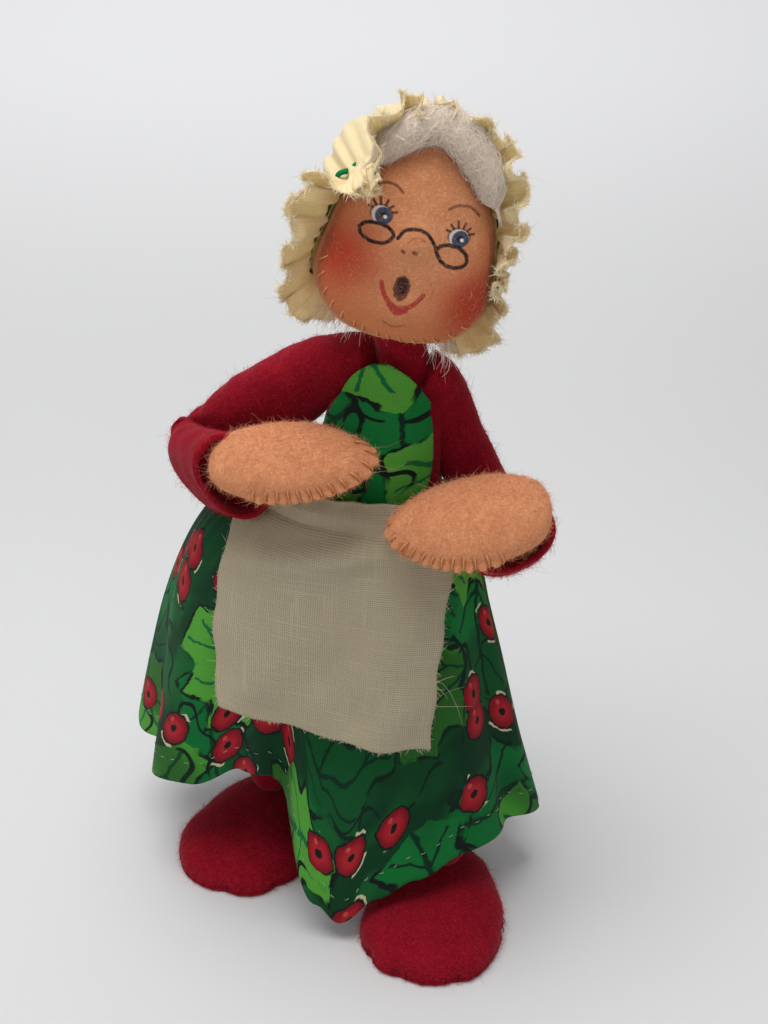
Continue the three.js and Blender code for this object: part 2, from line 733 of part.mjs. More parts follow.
function buildFoot(side) {
  const place = footPlaces[side];
  const group = new THREE.Group();
  group.position.copy(place.at);
  group.rotation.z = radians(place.turn);
  doll.add(group);
  const ankle = vec(0, ankleBack, ankleHeight);
  const socket = ball(ankle, ankleRadius + seatGap);
  const base = feltThickness + clearance;
  const cardBase = base;
  const cardTop = cardBase + cardThickness;
  const cardInset = feltThickness + 2 * clearance + 0.4;
  add(group, `foot_sole_${side}`, slab(footOutline(0.2), 0, feltThickness), 'redFelt');
  add(group, `foot_card_${side}`, slab(footOutline(cardInset), cardBase, cardThickness), 'card');
  const shell = loft([...footRings(feltThickness, base).reverse(), ...footRings(0, base)]);
  add(group, `foot_felt_${side}`, cut(shell, socket), 'redFelt');
  const wireLow = cardTop + seatGap + boreRadius;
  const wirePath = (top) => [
    vec(0, ankleBack, top),
    vec(0, ankleBack - 1, wireLow + 1.2),
    vec(0, ankleBack - 4, wireLow),
    vec(0, -0.5 * ankleBack, wireLow),
  ];
  const wireTop = ankleHeight - ankleRadius - seatGap - clearance;
  const core = loft(footRings(feltThickness + clearance, cardTop + clearance));
  const path = wirePath(wireTop);
  const mouth = rod(path[0], ankle, boreRadius);
  add(group, `foot_stuffing_${side}`, cut(core, socket, mouth, bentRod(path, boreRadius, 5)), 'stuffing');
  add(group, `foot_wire_${side}`, bentRod(path, wireRadius, 5), 'steelWire');
  group.updateMatrixWorld(true);
  return ankle.applyMatrix4(group.matrixWorld);
}

function buildLeg(side) {
  const ankle = buildFoot(side);
  const hip = hips[side];
  const knee = hip.clone().lerp(ankle, kneeShare);
  const thighLength = hip.distanceTo(knee);
  const shinLength = knee.distanceTo(ankle);
  const across = vec(1, 0, 0);
  const thighSections = [
    ...roundEnd(0, hipRadius, hipRadius, -1),
    [0.5 * thighLength, 0.94 * hipRadius, 0.94 * hipRadius],
    ...roundEnd(thighLength, kneeRadius, kneeRadius, 1),
  ];
  const shinSections = [
    [0, kneeRadius, kneeRadius],
    [0.5 * shinLength, kneeRadius - 0.3, kneeRadius - 0.3],
    ...roundEnd(shinLength, ankleRadius, ankleRadius, 1),
  ];
  const along = ankle.clone().sub(hip).normalize();
  const wire = (from, to, radius) => rod(from, to, radius);
  const thighEnds = [offset(hip, along, wireEndCover - hipRadius), offset(knee, along, kneeRadius - wireEndCover)];
  const shinEnds = [offset(knee, along, kneeRadius + seatGap + clearance)];
  shinEnds.push(offset(ankle, along, ankleRadius - wireEndCover));
  const thigh = limb(hip, knee, across, thighSections);
  const thighBore = rod(offset(thighEnds[0], along, -2), offset(thighEnds[1], along, 2), boreRadius);
  add(doll, `thigh_${side}`, cut(thigh, thighBore), 'redFelt');
  add(doll, `thigh_wire_${side}`, wire(...thighEnds, wireRadius), 'steelWire');
  const bent = along.clone().negate().applyAxisAngle(across, radians(kneeBend));
  const shin = limb(knee, ankle, across, shinSections, 14);
  const shinBore = rod(knee, offset(shinEnds[1], along, 2), boreRadius);
  const bentThigh = rod(knee, offset(knee, bent, 2 * kneeRadius), kneeRadius + seatGap, 14);
  const kneeBall = ball(knee, kneeRadius + seatGap);
  add(doll, `shin_${side}`, cut(shin, kneeBall, bentThigh, shinBore), 'redFelt');
  add(doll, `shin_wire_${side}`, wire(...shinEnds, wireRadius), 'steelWire');
  return { hip, knee, ankle };
}

// Outline of the head as a closed curve, and its size at each depth behind the face.
const outlineHalf = headOutline.map(([x, z]) => vec(x, 0, z));
const outlineOther = headOutline.slice(1, -1).reverse().map(([x, z]) => vec(-x, 0, z));
const outlineCurve = new THREE.CatmullRomCurve3([...outlineHalf, ...outlineOther], true);

function headSize(y) {
  if (y < -seamDepth) {
    const share = Math.min((-seamDepth - y) / (faceDepth - seamDepth), 1);
    return seamInset * (1 - share ** 2.2) ** (1 / 2.2);
  }
  if (y < -widestDepth) {
    const share = (-widestDepth - y) / (seamDepth - widestDepth);
    return 1 - (1 - seamInset) * share * share;
  }
  const share = Math.min((y + widestDepth) / (headBackDepth + widestDepth), 1);
  return (1 - share ** 2.4) ** (1 / 2.4);
}

function headRing(y, offset, count, size = headSize(y)) {
  return Array.from({ length: count }, (unused, k) => {
    const p = outlineCurve.getPoint(k / count);
    return p.clone().multiplyScalar(size + offset / p.length()).setY(y);
  });
}

// Rings of the face from its seam to the tip of the nose, or of the back from its seam to its pole.
function faceRings(inset, count) {
  const depth = faceDepth - inset;
  const rings = [0, 0.3, 0.55, 0.78, 0.93].map((share) => {
    const y = -seamDepth - (depth - seamDepth) * share;
    const size = seamInset * (1 - share ** 2.2) ** (1 / 2.2);
    const ring = headRing(y, 0, count, size);
    return ring.map((p) => {
      const flat = Math.hypot(p.x, p.z);
      const drawn = p.multiply(vec(1 - inset / (flat + inset), 1, 1 - inset / (flat + inset)));
      return drawn.setY(y - noseHeight * Math.exp(-((flat / noseWidth) ** 2)));
    });
  });
  rings.push([vec(0, -depth - noseHeight, 0)]);
  return rings;
}

function backRings(inset, count, seam) {
  const depth = headBackDepth - inset;
  const rings = [seam, -widestDepth].map((y) => headRing(y, -inset, count));
  for (const share of [0.3, 0.56, 0.78, 0.93]) {
    const y = -widestDepth + (depth + widestDepth) * share;
    rings.push(headRing(y, -inset, count, (1 - share ** 2.4) ** (1 / 2.4)));
  }
  rings.push([vec(0, depth, 0)]);
  return rings;
}

// A closed ring or an open arc of round section, given by its middles, radii and outward directions.
function roll(stations, count, looped) {
  const rings = stations.map(({ middle, radius, outward, forward }) => {
    if (radius === 0) return [middle];
    return Array.from({ length: count }, (unused, k) => {
      const turn = 2 * Math.PI * k / count;
      return middle.clone()
        .addScaledVector(outward, radius * Math.cos(turn))
        .addScaledVector(forward, radius * Math.sin(turn));
    });
  });
  return loft(rings, looped);
}

// Depth of the cap's gathered line round the head: at the nape it lies behind the neck.
function gatherDepth(turn) {
  return gatherFront + (gatherNape - gatherFront) * Math.max(-Math.cos(turn), 0) ** 2;
}

function capStation(k, count) {
  const p = outlineCurve.getPoint(k / count);
  const turn = 2 * Math.PI * k / count;
  const y = gatherDepth(turn);
  const reach = p.length() * headSize(y) + 1.3 + clearance;
  return { outward: p.clone().normalize(), y, reach, turn };
}

function buildCap() {
  const count = ruffleCount * 4;
  const stations = Array.from({ length: count }, (unused, k) => capStation(k, count));
  const rows = [0.18, 0.42, 0.66, 0.86, 1].map((share) => stations.map(({ outward, y, reach }) => {
    const sweep = share * Math.PI / 2;
    const out = reach * Math.sin(sweep) ** 0.72 + capPuff * Math.sin(2 * sweep);
    return outward.clone().multiplyScalar(out).setY(capDepth + (y - capDepth) * (1 - Math.cos(sweep)));
  }));
  for (const share of [0.35, 0.7, 1]) {
    rows.push(stations.map(({ outward, y, reach, turn }) => {
      const front = 0.5 + 0.5 * Math.cos(turn);
      const length = ruffleLength * share * (0.45 + 0.55 * front);
      const flare = ruffleFlare * Math.min(2 * front, 1);
      const wave = ruffleWave * share * (0.5 + 0.5 * front) * Math.cos(ruffleCount * turn);
      const out = reach + length * Math.cos(flare) + wave * Math.sin(flare);
      return outward.clone().multiplyScalar(out).setY(y - length * Math.sin(flare) + wave * Math.cos(flare));
    }));
  }
  add(head, 'mob_cap', clothBag(vec(0, capDepth, 0), rows, clothThickness), 'muslin');

  const cord = stations.filter((unused, k) => k % 2 === 0).map(({ outward, y, reach }) => ({
    middle: outward.clone().multiplyScalar(reach + clothThickness + cordStandOff + cordRadius).setY(y + 1.7),
    radius: cordRadius,
    outward,
    forward: vec(0, 1, 0),
  }));
  add(head, 'cap_cord', roll(cord, 5, true), 'greenCord');
}

function buildHead() {
  const count = 24;
  const along = neckAxis.clone().transformDirection(head.matrixWorld.clone().invert());
  const wireStart = offset(neckSeat, along, clearance);
  const wireEnd = offset(neckSeat, along, headWireLength);
  const entry = rod(offset(neckSeat, along, -4), wireEnd, boreRadius);
  const face = loft([...faceRings(feltThickness, count).reverse(), ...faceRings(0, count)]);
  add(head, 'face_felt', face, 'peachFelt');
  const seam = -seamDepth + clearance;
  const back = loft([...backRings(feltThickness, count, seam).reverse(), ...backRings(0, count, seam)]);
  add(head, 'head_back_felt', cut(back, entry), 'peachFelt');
  const inset = feltThickness + clearance;
  const frontCore = faceRings(inset, 18).reverse();
  const core = loft([...frontCore, ...backRings(inset, 18, seam)]);
  add(head, 'head_stuffing', cut(core, entry), 'stuffing');
  add(head, 'head_wire', rod(wireStart, offset(wireEnd, along, -clearance), wireRadius), 'steelWire');

  const steps = 20;
  const hair = Array.from({ length: steps + 1 }, (unused, k) => {
    const turn = radians(-118 + 236 * k / steps);
    const p = outlineCurve.getPoint((turn / (2 * Math.PI) + 1) % 1);
    const radius = k % steps === 0 ? 0 : hairRadius * (0.55 + 0.45 * Math.cos(0.75 * turn));
    const outward = p.clone().normalize();
    const reach = p.length() * headSize(hairDepth) + hairRadius + clearance;
    return { middle: outward.clone().multiplyScalar(reach).setY(hairDepth), radius, outward, forward: vec(0, 1, 0) };
  });
  add(head, 'hair_front', roll(hair, 8, false), 'whiteRoving');

  const napeReach = neckRadius + 2 * seatGap + napeHairRadius;
  const napeMiddle = offset(neckSeat, along, -(napeHairRadius + napeDrop) / along.z);
  const nape = Array.from({ length: 13 }, (unused, k) => {
    const turn = radians(-75 + 150 * k / 12);
    const outward = vec(Math.sin(turn), Math.cos(turn), 0);
    const middle = offset(napeMiddle, outward, napeReach);
    return { middle, radius: k % 12 === 0 ? 0 : napeHairRadius, outward, forward: vec(0, 0, 1) };
  });
  add(head, 'hair_nape', roll(nape, 8, false), 'whiteRoving');
  buildCap();
}

// The neck turns in the body's socket and carries the head, which turns on its upper end.
function buildNeck() {
  const length = neckPivot.distanceTo(neckTop);
  const across = vec(1, 0, 0);
  const sections = [
    ...roundEnd(0, neckRadius, neckRadius, -1),
    [0.5 * length, neckRadius, neckRadius],
    [length + 1, neckRadius, neckRadius],
  ];
  const reach = (from, to, radius) => rod(offset(neckPivot, neckAxis, from), offset(neckPivot, neckAxis, to), radius);
  const blank = loft([...faceRings(-clearance, 20).reverse(), ...backRings(-clearance, 20, -seamDepth)]);
  const heads = [-45, -22, 0, 22, 45].map((angle) => {
    const turn = new THREE.Quaternion().setFromAxisAngle(neckAxis, radians(angle));
    return blank.clone()
      .applyMatrix4(head.matrixWorld)
      .translate(-neckPivot.x, -neckPivot.y, -neckPivot.z)
      .applyQuaternion(turn)
      .translate(neckPivot.x, neckPivot.y, neckPivot.z);
  });
  const post = limb(neckPivot, neckTop, across, sections, 20);
  add(doll, 'neck_felt', cut(post, ...heads, reach(-2 * neckRadius, length + 2, boreRadius)), 'redFelt');
  add(doll, 'neck_wire', reach(wireEndCover - neckRadius, length - clearance, wireRadius), 'steelWire');
}

buildBody();
buildSkirt();
buildApron();
buildBib();
const arms = {};
const legs = {};
for (const side of sides) {
  arms[side] = buildArm(side);
  legs[side] = buildLeg(side);
}
buildNeck();
buildHead();

// The doll stands with the middle of its outline over the origin.
const outline = new THREE.Box3().setFromObject(doll, true);
const middle = outline.getCenter(vec(0, 0, 0));
doll.position.set(-middle.x, -middle.y, -outline.min.z);

export { arms, legs, neckPivot, neckTop, neckAxis, head };
export default doll;
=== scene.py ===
# Felt granny doll: fine felt, cloth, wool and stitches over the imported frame.
import json
import math

import bpy
import numpy as np
from mathutils import Matrix, Vector


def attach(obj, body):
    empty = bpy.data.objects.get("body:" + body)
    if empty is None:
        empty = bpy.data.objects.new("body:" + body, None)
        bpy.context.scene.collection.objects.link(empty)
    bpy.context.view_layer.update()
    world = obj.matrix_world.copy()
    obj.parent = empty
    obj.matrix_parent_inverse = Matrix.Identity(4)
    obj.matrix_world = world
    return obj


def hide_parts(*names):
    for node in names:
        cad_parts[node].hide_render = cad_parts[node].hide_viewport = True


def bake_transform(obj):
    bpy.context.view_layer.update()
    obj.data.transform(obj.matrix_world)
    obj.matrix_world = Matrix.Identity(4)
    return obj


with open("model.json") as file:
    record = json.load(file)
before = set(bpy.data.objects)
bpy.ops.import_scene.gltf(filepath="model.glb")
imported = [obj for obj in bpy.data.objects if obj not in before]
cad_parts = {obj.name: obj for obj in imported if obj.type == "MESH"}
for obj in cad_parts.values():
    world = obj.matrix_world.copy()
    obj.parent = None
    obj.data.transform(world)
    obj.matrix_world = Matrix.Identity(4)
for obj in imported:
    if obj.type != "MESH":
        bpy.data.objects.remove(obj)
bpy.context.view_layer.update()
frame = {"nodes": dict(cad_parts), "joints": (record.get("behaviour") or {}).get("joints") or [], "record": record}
millimetre = 0.001
joints = {j["name"]: j for j in frame["joints"]}

# The design places are in millimetres round the doll's own middle line, as in the part's source.
neckPivotDesign = np.array([3.0, 0.0, 121.5])
shift = np.array(joints["neck_nod"]["pos_m"]) - neckPivotDesign * millimetre


def say(stage):
    print("stage:", stage, flush=True)


def place(points):
    return np.asarray(points, float) * millimetre + shift


def pivot(name):
    return (np.array(joints[name]["pos_m"]) - shift) / millimetre


def unit(v):
    v = np.asarray(v, float)
    return v / np.linalg.norm(v, axis=-1, keepdims=True)


def smooth(low, high, value):
    t = np.clip((value - low) / (high - low), 0, 1)
    return t * t * (3 - 2 * t)


def lerp(a, b, share):
    return a + (b - a) * share


def circle(count):
    return np.linspace(0, 2 * np.pi, count, endpoint=False)


# One at nothing, falling to almost none at two.
def hump(away):
    return np.exp(-away ** 2)


# Reach of a rounded form at a share of its height: a circle's curve, squarer for a larger power.
def dome(share, power=2.2):
    return (1 - share ** power) ** (1 / power)


# Full along a tube, from -1 to 1, and drawn in to nothing at both ends.
def drawnIn(along, power):
    return np.sqrt(np.clip(1 - along ** power, 0, 1))


# Points from their parts, which are numbers or arrays that fit each other.
def stacked(*parts):
    return np.stack(np.broadcast_arrays(*parts), -1)


# Length travelled along a path at each of its points.
def travelled(points):
    return np.concatenate([[0], np.cumsum(np.linalg.norm(np.diff(points, axis=0), axis=1))])


# The columns of a path, read at wanted places along it.
def readAt(wanted, at, path):
    return np.stack([np.interp(wanted, at, column) for column in path.T], -1)


# Places at a reach from the head's own middle line, at an angle from the top towards +x.
def polar(reach, y, angle):
    return stacked(reach * np.sin(angle), y, reach * np.cos(angle))


# Two directions square to a path, the first of them square to a guide too.
def crossways(along, guide):
    across = unit(np.cross(along, guide))
    return across, np.cross(along, across)


# Places round a middle, so far along each of two directions.
def offsets(middle, first, second, along, aside):
    return middle + first * along[..., None] + second * aside[..., None]


def rings(middle, first, second, radius, around):
    return offsets(middle, first, second, radius * np.cos(around), radius * np.sin(around))


# Evens out some rows of a grid against the rows beside them.
def evened(grid, low, high):
    for _ in range(2):
        grid[low:high] = (grid[low - 1:high - 1] + 2 * grid[low:high] + grid[low + 1:high + 1]) / 4


# Slow, uneven variation along one or two directions: the mean of a few sine waves drawn by chance.
def ripple(u, v=0.0, seed=0, waves=5, low=1.0, high=4.0):
    random = np.random.default_rng(seed)
    total = 0
    for _ in range(waves):
        across = random.uniform(low, high)
        along = random.uniform(low, high) * random.choice([-1, 1])
        total = total + random.uniform(0.6, 1) * np.sin(across * u + along * v + random.uniform(0, 6.283))
    return total / waves


# A curve through points, evenly spaced by its own length.
def curveThrough(points, count, closed=False):
    p = np.asarray(points, float)
    n = len(p)
    fine = []
    for i in range(n if closed else n - 1):
        if closed:
            a, b, c, d = (p[(i + k - 1) % n] for k in range(4))
        else:
            a, b, c, d = (p[min(max(i + k - 1, 0), n - 1)] for k in range(4))
        t = np.linspace(0, 1, 24, endpoint=False)[:, None]
        fine.append(0.5 * (2 * b + (c - a) * t + (2 * a - 5 * b + 4 * c - d) * t ** 2
                           + (3 * b - 3 * c + d - a) * t ** 3))
    fine = np.vstack(fine + [p[:1] if closed else p[-1:]])
    at = travelled(fine)
    wanted = np.linspace(0, at[-1], count, endpoint=not closed)
    return readAt(wanted, at, fine)


def gridFaces(rows, columns, loopRows=False, loopColumns=False):
    i, k = np.meshgrid(
        np.arange(rows if loopRows else rows - 1),
        np.arange(columns if loopColumns else columns - 1),
        indexing="ij",
    )
    nextRow, nextColumn = (i + 1) % rows, (k + 1) % columns
    quads = [row * columns + column for row, column in
             ((i, k), (i, nextColumn), (nextRow, nextColumn), (nextRow, k))]
    return np.stack(quads, -1).reshape(-1, 4)


def turnedOut(points, faces, inside):
    a, b, c = points[faces[:, 0]], points[faces[:, 1]], points[faces[:, -1]]
    normal = np.cross(b - a, c - a)
    outward = np.einsum("ij,ij->i", normal, (a + b + c) / 3 - inside).sum()
    return faces if outward > 0 else faces[:, ::-1]


def linked(name, data):
    obj = bpy.data.objects.new(name, data)
    bpy.context.scene.collection.objects.link(obj)
    return obj


# A mesh object from points in design millimetres and faces of one size each.
def meshObject(name, points, faceLists, material, spots=None, colours=None, flat=False):
    points = np.asarray(points, float)
    mesh = bpy.data.meshes.new(name)
    sizes = np.concatenate([np.full(len(f), f.shape[1]) for f in faceLists])
    corners = np.concatenate([f.ravel() for f in faceLists]).astype(np.int32)
    mesh.vertices.add(len(points))
    mesh.vertices.foreach_set("co", place(points).astype(np.float32).ravel())
    mesh.loops.add(len(corners))
    mesh.loops.foreach_set("vertex_index", corners)
    mesh.polygons.add(len(sizes))
    starts = np.concatenate([[0], np.cumsum(sizes)[:-1]]).astype(np.int32)
    mesh.polygons.foreach_set("loop_start", starts)
    mesh.polygons.foreach_set("use_smooth", np.full(len(sizes), not flat))
    mesh.update(calc_edges=True)
    mesh.validate()
    if spots is not None:
        layer = mesh.attributes.new("cloth", "FLOAT_VECTOR", "POINT")
        layer.data.foreach_set("vector", np.asarray(spots, np.float32).ravel())
    if colours is not None:
        layer = mesh.color_attributes.new("paint", "FLOAT_COLOR", "POINT")
        layer.data.foreach_set("color", np.asarray(colours, np.float32).ravel())
    obj = linked(name, mesh)
    mesh.materials.append(material)
    return obj


# A piece from a grid of points; its ends can close on their own middle.
def gridObject(name, grid, material, loopRows=False, loopColumns=False, capStart=False, capEnd=False,
               inside=None, **more):
    rows, columns = grid.shape[:2]
    points = grid.reshape(-1, 3)
    faceLists = [gridFaces(rows, columns, loopRows, loopColumns)]
    spots = more.pop("spots", None)
    if spots is not None:
        spots = np.asarray(spots, float).reshape(-1, 3)
    for wanted, first, order in ((capStart, 0, -1), (capEnd, (rows - 1) * columns, 1)):
        if not wanted:
            continue
        ring = first + np.arange(columns)
        points = np.vstack([points, points[ring].mean(0)])
        if spots is not None:
            spots = np.vstack([spots, spots[ring].mean(0)])
        tip = np.full(columns, len(points) - 1)
        faceLists.append(np.stack([ring, np.roll(ring, -order), tip], -1))
    middle = points.mean(0) if inside is None else np.asarray(inside, float)
    if turnedOut(points, faceLists[0], middle) is not faceLists[0]:
        faceLists = [faces[:, ::-1] for faces in faceLists]
    return meshObject(name, points, faceLists, material, spots=spots, **more)


# A stuffed or wound piece: rings along a grid, closed at both ends.
def closedObject(name, grid, material, **more):
    return gridObject(name, grid, material, loopColumns=True, capStart=True, capEnd=True, **more)


# Gives a sheet its thickness, as a modifier whose shown and rendered forms are the same.
def thicken(obj, thickness, offset=0.0):
    solid = obj.modifiers.new("thickness", "SOLIDIFY")
    solid.thickness = thickness * millimetre
    solid.offset = offset
    solid.use_even_offset = False
    return obj


# Tubes along many short paths at once: paths is (count, steps, 3), radii (count, steps).
def tubesGeometry(paths, radii, sides=3, seed=0):
    paths = np.asarray(paths, float)
    count, steps = paths.shape[:2]
    radii = np.broadcast_to(radii, (count, steps))
    along = unit(np.gradient(paths, axis=1) + 1e-12)
    guide = unit(np.random.default_rng(seed).normal(size=(count, 1, 3)))
    across, other = crossways(along, guide)
    turn = 2 * np.pi * np.arange(sides) / sides
    ring = across[:, :, None] * np.cos(turn)[:, None] + other[:, :, None] * np.sin(turn)[:, None]
    points = (paths[:, :, None] + ring * radii[:, :, None, None]).reshape(-1, 3)
    base = (np.arange(count) * steps * sides)[:, None, None, None]
    i = np.arange(steps - 1)[None, :, None, None] * sides
    k = np.arange(sides)[None, None, :, None]
    after = (np.arange(sides) + 1)[None, None, :, None] % sides
    quads = np.concatenate([base + i + corner for corner in (k, after, sides + after, sides + k)], -1)
    start = base[:, 0, 0] + np.arange(sides)[None, ::-1]
    end = base[:, 0, 0] + (steps - 1) * sides + np.arange(sides)[None]
    return points, [quads.reshape(-1, 4), start.reshape(-1, sides), end.reshape(-1, sides)]


def tubesObject(name, paths, radii, material, sides=3, seed=0, **more):
    points, faceLists = tubesGeometry(paths, radii, sides, seed)
    return meshObject(name, points, faceLists, material, flat=sides == 3, **more)


# Points and normals spread over a piece's faces, optionally only where a test holds.
def scatter(obj, count, seed, keep=None):
    mesh = obj.data
    mesh.calc_loop_triangles()
    co = np.empty(len(mesh.vertices) * 3, np.float32)
    mesh.vertices.foreach_get("co", co)
    co = (co.reshape(-1, 3).astype(float) - shift) / millimetre
    tri = np.empty(len(mesh.loop_triangles) * 3, np.int32)
    mesh.loop_triangles.foreach_get("vertices", tri)
    tri = tri.reshape(-1, 3)
    a, b, c = co[tri[:, 0]], co[tri[:, 1]], co[tri[:, 2]]
    normal = np.cross(b - a, c - a)
    area = np.linalg.norm(normal, axis=1)
    if keep is not None:
        area = area * keep((a + b + c) / 3, unit(normal + 1e-12))
    random = np.random.default_rng(seed)
    pick = random.choice(len(tri), count, p=area / area.sum())
    u, v = random.random((2, count, 1))
    swap = u + v > 1
    u, v = np.where(swap, 1 - u, u), np.where(swap, 1 - v, v)
    return a[pick] + u * (b - a)[pick] + v * (c - a)[pick], unit(normal[pick] + 1e-12), random


# Loose fibres that stand off a felt or wool surface.
def fuzz(name, obj, count, length, radius, material, seed, lie=0.7, keep=None):
    points, normals, random = scatter(obj, count, seed, keep)
    lean = unit(random.normal(size=points.shape))
    lean = unit(lean - (lean * normals).sum(1, keepdims=True) * normals + 1e-9)
    size = length * random.lognormal(0, 0.5, (count, 1))
    lie = lie + (1 - lie) * random.random((count, 1)) ** 0.5
    start = points - normals * radius
    first = points + (normals * (1 - lie) + lean * lie) * size * 0.5
    curl = unit(random.normal(size=points.shape)) * size * 0.22
    last = first + (normals * (1 - lie) * 0.5 + lean * lie) * size * 0.5 + curl
    paths = np.stack([start, first, last], 1)
    paths[..., 2] = np.maximum(paths[..., 2], 0.1)  # none passes the floor
    radii = radius * random.uniform(0.7, 1.2, (count, 1)) * np.array([[1, 0.8, 0.25]])
    return tubesObject(name, paths, radii, material, seed=seed)


def finishPiece(obj, body, slot, nodes=(), blendWith=None, start=None, end=None):
    if blendWith:
        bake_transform(obj)
    else:
        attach(obj, body)
    if nodes:
        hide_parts(*nodes)
    return obj


# Shader helpers: a small wrapper that adds nodes and joins them by name.
class Net:
    def __init__(self, tree):
        self.tree = tree

    def add(self, kind, settings=None, **inputs):
        node = self.tree.nodes.new(kind)
        for key, value in (settings or {}).items():
            setattr(node, key, value)
        for key, value in inputs.items():
            self.feed(node, key, value)
        return node

    def feed(self, node, key, value):
        name = key.replace("_", " ")
        socket = node.inputs[int(key[1:])] if key[0] == "i" and key[1:].isdigit() else node.inputs[name]
        if isinstance(value, bpy.types.NodeSocket):
            self.tree.links.new(value, socket)
        else:
            socket.default_value = value

    def math(self, operation, a, b=0.0):
        return self.add("ShaderNodeMath", {"operation": operation}, i0=a, i1=b).outputs[0]

    def times(self, a, b):
        return self.math("MULTIPLY", a, b)

    def plus(self, a, b):
        return self.math("ADD", a, b)

    def minus(self, a, b):
        return self.math("SUBTRACT", a, b)

    def absolute(self, a):
        return self.math("ABSOLUTE", a)

    def ramp(self, value, low, high, start=0.0, end=1.0):
        node = self.add("ShaderNodeMapRange", {"interpolation_type": "SMOOTHSTEP"}, Value=value,
                        From_Min=low, From_Max=high, To_Min=start, To_Max=end)
        return node.outputs[0]

    def mix(self, share, a, b):
        node = self.add("ShaderNodeMix", {"data_type": "RGBA"})
        self.feed(node, "i0", share)
        self.feed(node, "i6", a)
        self.feed(node, "i7", b)
        return node.outputs[2]

    def noise(self, vector, scale, detail=2.0, roughness=0.5, output=0):
        node = self.add("ShaderNodeTexNoise", None, Vector=vector, Scale=scale, Detail=detail,
                        Roughness=roughness)
        return node.outputs[output]

    # noise in three directions at once
    def drift(self, vector, scale):
        return self.noise(vector, scale, output=1)

    def vector(self, operation, a, b=(0, 0, 0), c=None, scale=None):
        node = self.add("ShaderNodeVectorMath", {"operation": operation}, i0=a)
        if operation not in ("LENGTH", "FLOOR", "SCALE"):
            self.feed(node, "i1", b)
        if c is not None:
            self.feed(node, "i2", c)
        if scale is not None:
            self.feed(node, "Scale", scale)
        return node.outputs[1 if operation == "LENGTH" else 0]

    def turned(self, vector, angle):
        node = self.add("ShaderNodeVectorRotate", {"rotation_type": "Z_AXIS"}, Vector=vector, Angle=angle)
        return node.outputs[0]

    def send(self, end, **sockets):
        for label, socket in sockets.items():
            self.tree.links.new(socket, end.inputs[label])


# A node group that reads a place, as Spot, and numbers, here with their usual values.
def newGroup(name, outputs, **numbers):
    tree = bpy.data.node_groups.new(name, "ShaderNodeTree")
    tree.interface.new_socket("Spot", in_out="INPUT", socket_type="NodeSocketVector")
    for label, value in numbers.items():
        socket = tree.interface.new_socket(label, in_out="INPUT", socket_type="NodeSocketFloat")
        socket.default_value = value
    for label in outputs:
        tree.interface.new_socket(label, in_out="OUTPUT", socket_type="NodeSocketFloat")
    return Net(tree), tree.nodes.new("NodeGroupInput"), tree.nodes.new("NodeGroupOutput")


def useGroup(net, tree, **inputs):
    return net.add("ShaderNodeGroup", {"node_tree": tree}, **inputs)


def newMaterial(name, roughness=0.9, sheen=0.0, sheenTint=(1, 1, 1, 1), specular=0.2, soaked=0.0):
    material = bpy.data.materials.new(name)
    material.use_nodes = True
    net = Net(material.node_tree)
    shader = material.node_tree.nodes["Principled BSDF"]
    shader.inputs["Roughness"].default_value = roughness
    shader.inputs["Specular IOR Level"].default_value = specular
    shader.inputs["Sheen Weight"].default_value = sheen
    shader.inputs["Sheen Roughness"].default_value = 0.4
    shader.inputs["Sheen Tint"].default_value = sheenTint
    shader.inputs["Subsurface Weight"].default_value = soaked
    shader.inputs["Subsurface Radius"].default_value = (1.6, 1.3, 1.0)
    shader.inputs["Subsurface Scale"].default_value = millimetre
    return material, net, shader


def bumped(net, shader, height, distance, strength=1.0):
    bump = net.add("ShaderNodeBump", None, Strength=strength, Distance=distance * millimetre, Height=height)
    net.tree.links.new(bump.outputs[0], shader.inputs["Normal"])


# Matted wool: short fibres crossing in every direction, with uneven tone and painted shade that makes it darker in
# the hollows between the fibres.
def makeFeltGroup():
    net, start, end = newGroup("feltSurface", ("Shade", "Height"))
    spot = start.outputs["Spot"]
    bent = net.vector("MULTIPLY_ADD", net.drift(spot, 700.0), (0.0016, 0.0016, 0.0016), spot)
    fibres = None
    for squash in ((3400, 900, 1500), (900, 3400, 1900), (1300, 1500, 3600)):
        stretched = net.vector("MULTIPLY", bent, squash)
        layer = net.noise(stretched, 1.0, 2.0, 0.6)
        fibres = layer if fibres is None else net.math("MAXIMUM", fibres, layer)
    broad = net.noise(spot, 240.0, 3.0)
    shade = net.plus(net.ramp(fibres, 0.5, 0.78, 0.0, 0.7), net.times(broad, 0.6))
    net.send(end, Shade=shade, Height=net.plus(fibres, net.times(broad, 0.7)))
    return net.tree
